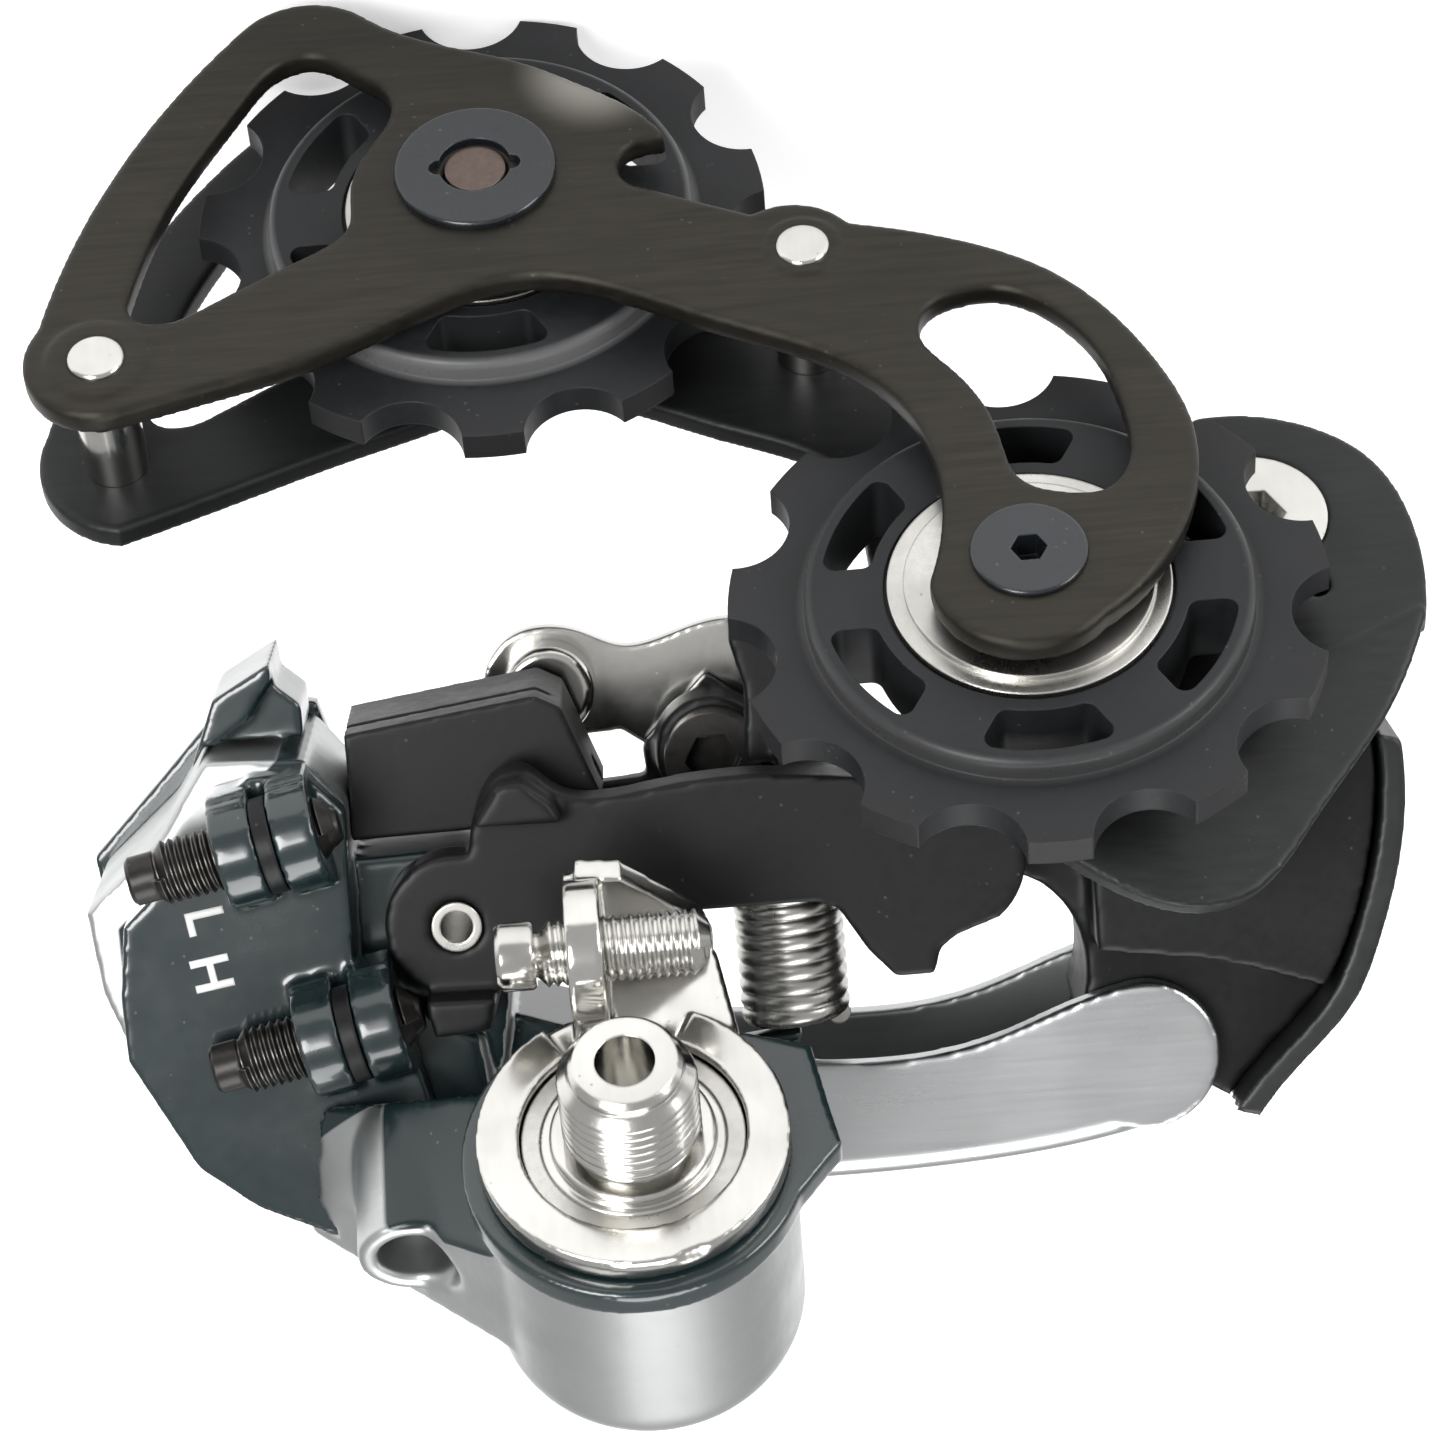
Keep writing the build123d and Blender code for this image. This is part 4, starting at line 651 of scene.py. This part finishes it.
# %% A block for the gap
PATCH_TURN = math.atan2(20.0, 7.0)
PATCH_REACH, PATCH_DEEP = 10.3 * MM, -0.5 * MM
PATCH_SIZE = (3.0 * MM, 1.0 * MM, 3.4 * MM)


def ring_patch():
    """A low block across the gap in the stop plate's ring."""
    bpy.ops.object.select_all(action="DESELECT")
    middle = (PATCH_REACH * math.cos(PATCH_TURN), PATCH_DEEP, PATCH_REACH * math.sin(PATCH_TURN))
    bpy.ops.mesh.primitive_cube_add(size=1, rotation=(0, -PATCH_TURN, 0), scale=PATCH_SIZE, location=middle)
    bpy.ops.object.transform_apply(location=True, rotation=True, scale=True)
    return bpy.context.object

# %% [markdown]
# ## Cast them all
# Each row names the new piece, the body that it rides on, its slot and finish, the size of its voxels in
# millimetres, its rounds of smoothing and the CAD piece that it stands for.

# %% Cast, forged and pressed pieces
CASTINGS = (
    ("upper_knuckle_casting", "b_knuckle", "silver_alloy", "knuckle", 0.38, 10, "b_knuckle_body"),
    ("upper_knuckle_paint", "b_knuckle", "dark_gloss", "paint", 0.24, 11, "b_knuckle_face"),
    ("upper_knuckle_flange", "b_knuckle", "dark_gloss", "paint", 0.24, 14, "b_flange"),
    ("upper_knuckle_back", "b_knuckle", "dark_gloss", "paint", 0.25, 4, "b_knuckle_back"),
    ("cable_hook_shell", "b_knuckle", "dark_gloss", "paint", 0.22, 9, "cable_stop_shell"),
    ("cable_slit_block", "b_knuckle", "matte_black", "matte", 0.22, 3, "cable_stop"),
    ("inner_link_casting", "inner_link", "matte_black", "matte", 0.28, 10, "inner_link"),
    ("outer_link_casting", "outer_link", "silver_alloy", "link_silver", 0.28, 9, "outer_link"),
    ("lower_knuckle_casting", "p_knuckle", "dark_gloss", "matte", 0.36, 9, "p_knuckle_body"),
    ("lower_knuckle_wall", "p_knuckle", "matte_black", "cover", 0.26, 3, "p_knuckle_cover"),
    ("clamp_plate_stamping", "inner_link", "bright_chrome", "chrome", 0.18, 4, "cable_clamp_plate"),
    ("inner_plate_pressing", "cage", "cage_steel", "inner_plate", 0.27, 5, "cage_inner_plate"),
    ("outer_plate_pressing", "cage", "cage_satin", "outer_plate", 0.30, 4, "cage_outer_plate"),
    ("stop_plate_forging", "hanger_mount", "bright_chrome", "chrome", 0.2, 10, "stop_plate"))
for name, body, slot, look, voxel, rounds, source in CASTINGS:
    extras = [ring_patch()] if source == "stop_plate" else []
    piece = casting(name, body, slot, voxel, rounds, source, *extras)
    paint(piece, look)

# %% [markdown]
# ## Turning and winding
# Bolts and screws are turned on a lathe, and threads and springs wind round an axis. Both are modelled
# upright at the origin. A circle is extruded and resized step by step, which gives every shoulder its own
# edge, as a cylinder would not. A small section, swept by the Screw modifier, makes a thread's ridge or a
# spring's wire.

# %% Turn, wind, cut and shade
def close_ends():
    """Fills every open loop of the mesh in edit mode and turns all faces outward."""
    bpy.ops.mesh.select_all(action="SELECT")
    bpy.ops.mesh.remove_doubles(threshold=MERGE)
    bpy.ops.mesh.fill_holes(sides=0)
    bpy.ops.mesh.normals_make_consistent(inside=False)
    bpy.ops.object.mode_set(mode="OBJECT")


def turned(name, profile, sides=72):
    """A solid turned about local Z from (radius, height) steps in millimetres, as on a lathe."""
    bpy.ops.object.select_all(action="DESELECT")
    radius, height = profile[0]
    bpy.ops.mesh.primitive_circle_add(vertices=sides, radius=radius * MM, location=(0, 0, height * MM))
    obj = bpy.context.object
    obj.name = name
    bpy.ops.object.transform_apply(location=True, rotation=True, scale=True)
    bpy.ops.object.mode_set(mode="EDIT")
    bpy.ops.mesh.select_all(action="SELECT")
    for next_radius, next_height in profile[1:]:
        step = (0, 0, (next_height - height) * MM)
        bpy.ops.mesh.extrude_region_move(TRANSFORM_OT_translate={"value": step})
        factor = next_radius / radius
        bpy.ops.transform.resize(value=(factor, factor, 1), center_override=(0, 0, next_height * MM))
        radius, height = next_radius, next_height
    close_ends()
    return obj


def helix(name, section, wide, tall, reach, start, rise, turns, sides=40):
    """A section swept round local Z: 4 corners make a thread ridge, more make a coil of wire."""
    bpy.ops.object.select_all(action="DESELECT")
    bpy.ops.mesh.primitive_circle_add(vertices=section, radius=MM, rotation=(math.radians(90), 0, 0),
                                      location=(reach * MM, 0, start * MM), scale=(wide, tall, 1))
    obj = bpy.context.object
    obj.name = name
    bpy.ops.object.transform_apply(location=True, rotation=True, scale=True)
    modify(obj, "SCREW", axis="Z", steps=sides, render_steps=sides, screw_offset=rise * MM, iterations=turns,
           use_merge_vertices=False)
    bpy.ops.object.mode_set(mode="EDIT")
    close_ends()
    return obj


def thread(name, root, crest, pitch, start, length):
    """A helical ridge about local Z, half sunk in the core."""
    turns = int(length / pitch) - 1
    return helix(name, 4, crest - root, 0.5 * pitch, root, start + 0.5 * pitch, pitch, turns)


def cut_socket(obj, sides, radius, top, depth, turn=0.0, width=None):
    """Cuts a hexagon socket or a slot that starts at height top and goes down by depth."""
    bpy.ops.object.select_all(action="DESELECT")
    if width is None:
        bpy.ops.mesh.primitive_cylinder_add(vertices=sides, radius=radius * MM, depth=2 * depth * MM,
                                            location=(0, 0, top * MM), rotation=(0, 0, turn))
    else:
        bpy.ops.mesh.primitive_cube_add(size=1, location=(0, 0, top * MM), rotation=(0, 0, turn),
                                        scale=(2 * radius * MM, width * MM, 2 * depth * MM))
    cutter = bpy.context.object
    modify(obj, "BOOLEAN", operation="DIFFERENCE", object=cutter, solver="EXACT")
    bpy.data.objects.remove(cutter)


def shade(obj, angle=35):
    """Smooth shading that keeps edges sharper than an angle."""
    only(obj)
    bpy.ops.object.shade_smooth_by_angle(angle=math.radians(angle))


M4 = (1.6, 1.98, 0.7)
print("M4 thread: root, crest and pitch", M4)

# %% [markdown]
# ## Mounting bolt
# The bolt screws into the frame's hanger and carries everything else. It has a fine thread at its tip, a
# hole through the tip, a flange, a long shank and a broad head with a hexagon socket. The ridges could be
# a bump in the shading, but they show in its outline, so they are real and half sunk in the core.

# %% Mounting bolt
TIP, HEAD = 9.35, -26.4
BOLT_STEPS = [(3.95, TIP), (4.4, 8.9), (4.4, 0.3), (4.7, 0.0), (6.15, 0.0), (6.4, -0.25), (6.4, -0.9),
              (7.0, -0.9), (7.2, -1.1), (7.2, -2.6), (6.0, -2.6), (6.0, -22.8), (9.2, -22.8),
              (9.4, -23.0), (9.4, -25.7), (8.7, HEAD)]
bolt = turned("mounting_bolt_turned", BOLT_STEPS, sides=96)
cut_socket(bolt, sides=48, radius=2.3, top=TIP, depth=8.0)
cut_socket(bolt, sides=6, radius=3.46, top=HEAD, depth=4.5)
ridges = thread("bolt_ridges", root=4.38, crest=4.98, pitch=1.0, start=0.1, length=8.9)
bolt = join(bolt, ridges)
place(bolt, stand(Vector((0, 0, 0)), Vector((0, 1, 0)), AHEAD))
shade(bolt)
paint(bolt, "chrome")
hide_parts("mounting_bolt")
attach(bolt, "hanger_mount")
tell(bolt)

# %% [markdown]
# ## B screw
# This screw rests on the hanger and sets how far the whole derailleur stands back. It lies level beside
# the bolt, with its slotted head to the rear. It is turned like the bolt, and its slot is cut by a thin
# block.

# %% B screw
screw = turned("b_screw_turned", [(2.3, 0), (2.7, 0.4), (2.7, 2.7), (2.5, 3.0), (1.72, 3.0),
                                 (1.62, 3.3), (1.62, 15.9), (1.2, 16.4)], sides=48)
cut_socket(screw, sides=0, radius=3.2, top=0.0, depth=1.1, turn=0.6, width=0.8)
screw = join(screw, thread("b_screw_ridges", *M4, start=3.4, length=12.9))
B_SCREW_HEAD = Vector((-9.4, 6.5, -12.6)) * MM
place(screw, stand(B_SCREW_HEAD, AHEAD, PINS))
shade(screw)
paint(screw, "chrome")
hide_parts("b_tension_screw")
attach(screw, "b_screw")
tell(screw)

# %% [markdown]
# ## Limit screws
# Two small screws stop the linkage at the lowest and the highest gear. They are alike, so one loop turns
# both and gives each its own mesh, its own place and its own body to ride on.

# %% Limit screws
LIMIT_DEPTH = -18.8
LIMIT_STEPS = [(1.7, 0), (1.98, 0.3), (1.98, 2.2), (1.65, 2.6), (1.62, 16.6), (1.2, 17.2)]
for label, start, body in (("low", (-38.2, 18.4), "low_screw"), ("high", (-33.1, 2.6), "high_screw")):
    screw = turned(label + "_limit_screw_turned", LIMIT_STEPS, sides=48)
    cut_socket(screw, sides=6, radius=1.15, top=0.0, depth=1.8)
    screw = join(screw, thread(label + "_ridges", *M4, start=2.3, length=14.4))
    place(screw, stand(across(start[0], start[1], LIMIT_DEPTH), LIMIT, PINS))
    shade(screw)
    paint(screw, "dark_steel")
    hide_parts(label + "_limit_screw")
    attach(screw, body)
    tell(screw)

# %% [markdown]
# ## Return spring
# A close coil pulls the linkage back when the cable lets go. One end hangs on the upper knuckle and the
# other on the inner link, and the link swings. The coil also tilts as the link swings, but here it is wound
# once where it rests, and its place is baked into its mesh.

# %% Return spring
COIL_LOW, COIL_HIGH, COIL_TURNS = -0.8, 15.6, 13
WIRE, COIL = 0.5, 3.5
RISE = (COIL_HIGH - COIL_LOW) / COIL_TURNS
coil = helix("return_spring_coil", section=14, wide=WIRE, tall=WIRE, reach=COIL, start=0.0, rise=RISE,
             turns=COIL_TURNS, sides=32)
place(coil, stand(across(13.5, COIL_LOW, -33.5), DOWN, AHEAD))
shade(coil, 60)
paint(coil, "steel")
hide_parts("return_spring")
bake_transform(coil)
tell(coil)

# %% [markdown]
# ## Painted marks
# Two plain letters tell the low limit screw from the high one. They are printed on the paint. A text
# object gives each letter, is made a mesh, and lies a hair above the face, where paint would be.

# %% Letters
LETTER_SIZE, LETTER_DEEP, LETTER_BOLD = 4.3 * MM, 0.03 * MM, 0.1 * MM
FACE_DEPTH = -21.0
LETTER_UP = -DOWN + 0.15 * AHEAD
for letter, s, t in (("L", -34.4, 15.2), ("H", -34.4, 11.3)):
    bpy.ops.object.select_all(action="DESELECT")
    bpy.ops.object.text_add()
    mark = bpy.context.object
    mark.name = "mark_" + letter
    mark.data.body = letter
    mark.data.size = LETTER_SIZE
    mark.data.extrude = LETTER_DEEP
    mark.data.offset = LETTER_BOLD
    bpy.ops.object.convert(target="MESH")
    place(mark, stand(across(s, t, FACE_DEPTH), PINS, LETTER_UP))
    paint(mark, "mark")
    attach(mark, "b_knuckle")
    tell(mark)

# %% [markdown]
# ## Floor
# The derailleur lies on a pale table in even light. The table could be lit until it turns white, but then
# the metal would glare, so it glows a little instead, and only where the camera sees it, which lights
# nothing.

# %% Floor
FLOOR_SIZE, FLOOR_GAP, FLOOR_GLOW = 6.0, 0.5 * MM, 0.32
low = min(corner[2] for corner in cad_box)
bpy.ops.object.select_all(action="DESELECT")
bpy.ops.mesh.primitive_plane_add(size=FLOOR_SIZE, location=(0, 0, low - FLOOR_GAP))
floor = bpy.context.object
floor.name = "floor"
bpy.ops.object.transform_apply(location=True, rotation=True, scale=True)
pale = bpy.data.materials.new("pale floor")
pale.use_nodes = True
pale_shader = pale.node_tree.nodes["Principled BSDF"]
pale_shader.inputs["Base Color"].default_value = (0.9, 0.9, 0.9, 1)
pale_shader.inputs["Roughness"].default_value = 0.9
pale_shader.inputs["Emission Color"].default_value = (1, 1, 1, 1)
seen = pale.node_tree.nodes.new("ShaderNodeLightPath")
glow = math_node(pale.node_tree, "MULTIPLY", seen.outputs["Is Camera Ray"], FLOOR_GLOW)
pale.node_tree.links.new(glow, pale_shader.inputs["Emission Strength"])
floor.data.materials.append(pale)
print("floor at", round(low / MM, 1), "mm")

# %% [markdown]
# ## Lights
# A soft sky fills the shadows, and three area lights give the metal something to mirror: a key from the
# upper left, a weaker fill from the right and one from above and behind. Large lamps give soft edges to
# every highlight. The Standard view keeps the colours plain.

# %% Sky and lamps
SKY = 0.55
AIM = Vector((0.010, 0.005, -0.040))
LAMPS = (("key", (-0.30, 0.50, 0.50), 0.35, 5.5), ("fill", (0.55, 0.45, 0.10), 0.3, 2.2),
         ("top", (0.05, -0.30, 0.6), 0.5, 4.0))
world = bpy.data.worlds.new("studio")
bpy.context.scene.world = world
world.use_nodes = True
world.node_tree.nodes["Background"].inputs["Color"].default_value = (1, 1, 1, 1)
world.node_tree.nodes["Background"].inputs["Strength"].default_value = SKY

bpy.context.scene.view_settings.view_transform = "Standard"
for name, spot, size, power in LAMPS:
    bpy.ops.object.light_add(type="AREA", location=spot)
    light = bpy.context.object
    light.name = name
    light.data.size = size
    light.data.energy = power
    light.rotation_euler = (AIM - Vector(spot)).to_track_quat("-Z", "Y").to_euler()
    print(name, power, "W")

# %% [markdown]
# ## Camera
# The camera looks down on the side that faces the wheel through a long lens, which keeps near and far
# parts alike in size. Its three axes are given, and squared up against each other, in place of three
# angles.

# %% Camera
CAMERA_AT = (0.00944, 0.3552, 0.2431)
LENS, SENSOR, NEAREST = 140.2, 36, 0.01
bpy.ops.object.camera_add()
camera = bpy.context.object
camera.name = "camera"
right = Vector((0.9965, -0.0521, 0.0656)).normalized()
forward = Vector((0.0, -0.7832, -0.6218)).normalized()
up = right.cross(forward).normalized()
right = forward.cross(up)
axes = Matrix((right, up, -forward)).transposed().to_4x4()
camera.matrix_world = Matrix.Translation(CAMERA_AT) @ axes
camera.data.lens = LENS
camera.data.sensor_width = SENSOR
camera.data.clip_start = NEAREST
bpy.context.scene.camera = camera
print("camera at", CAMERA_AT)
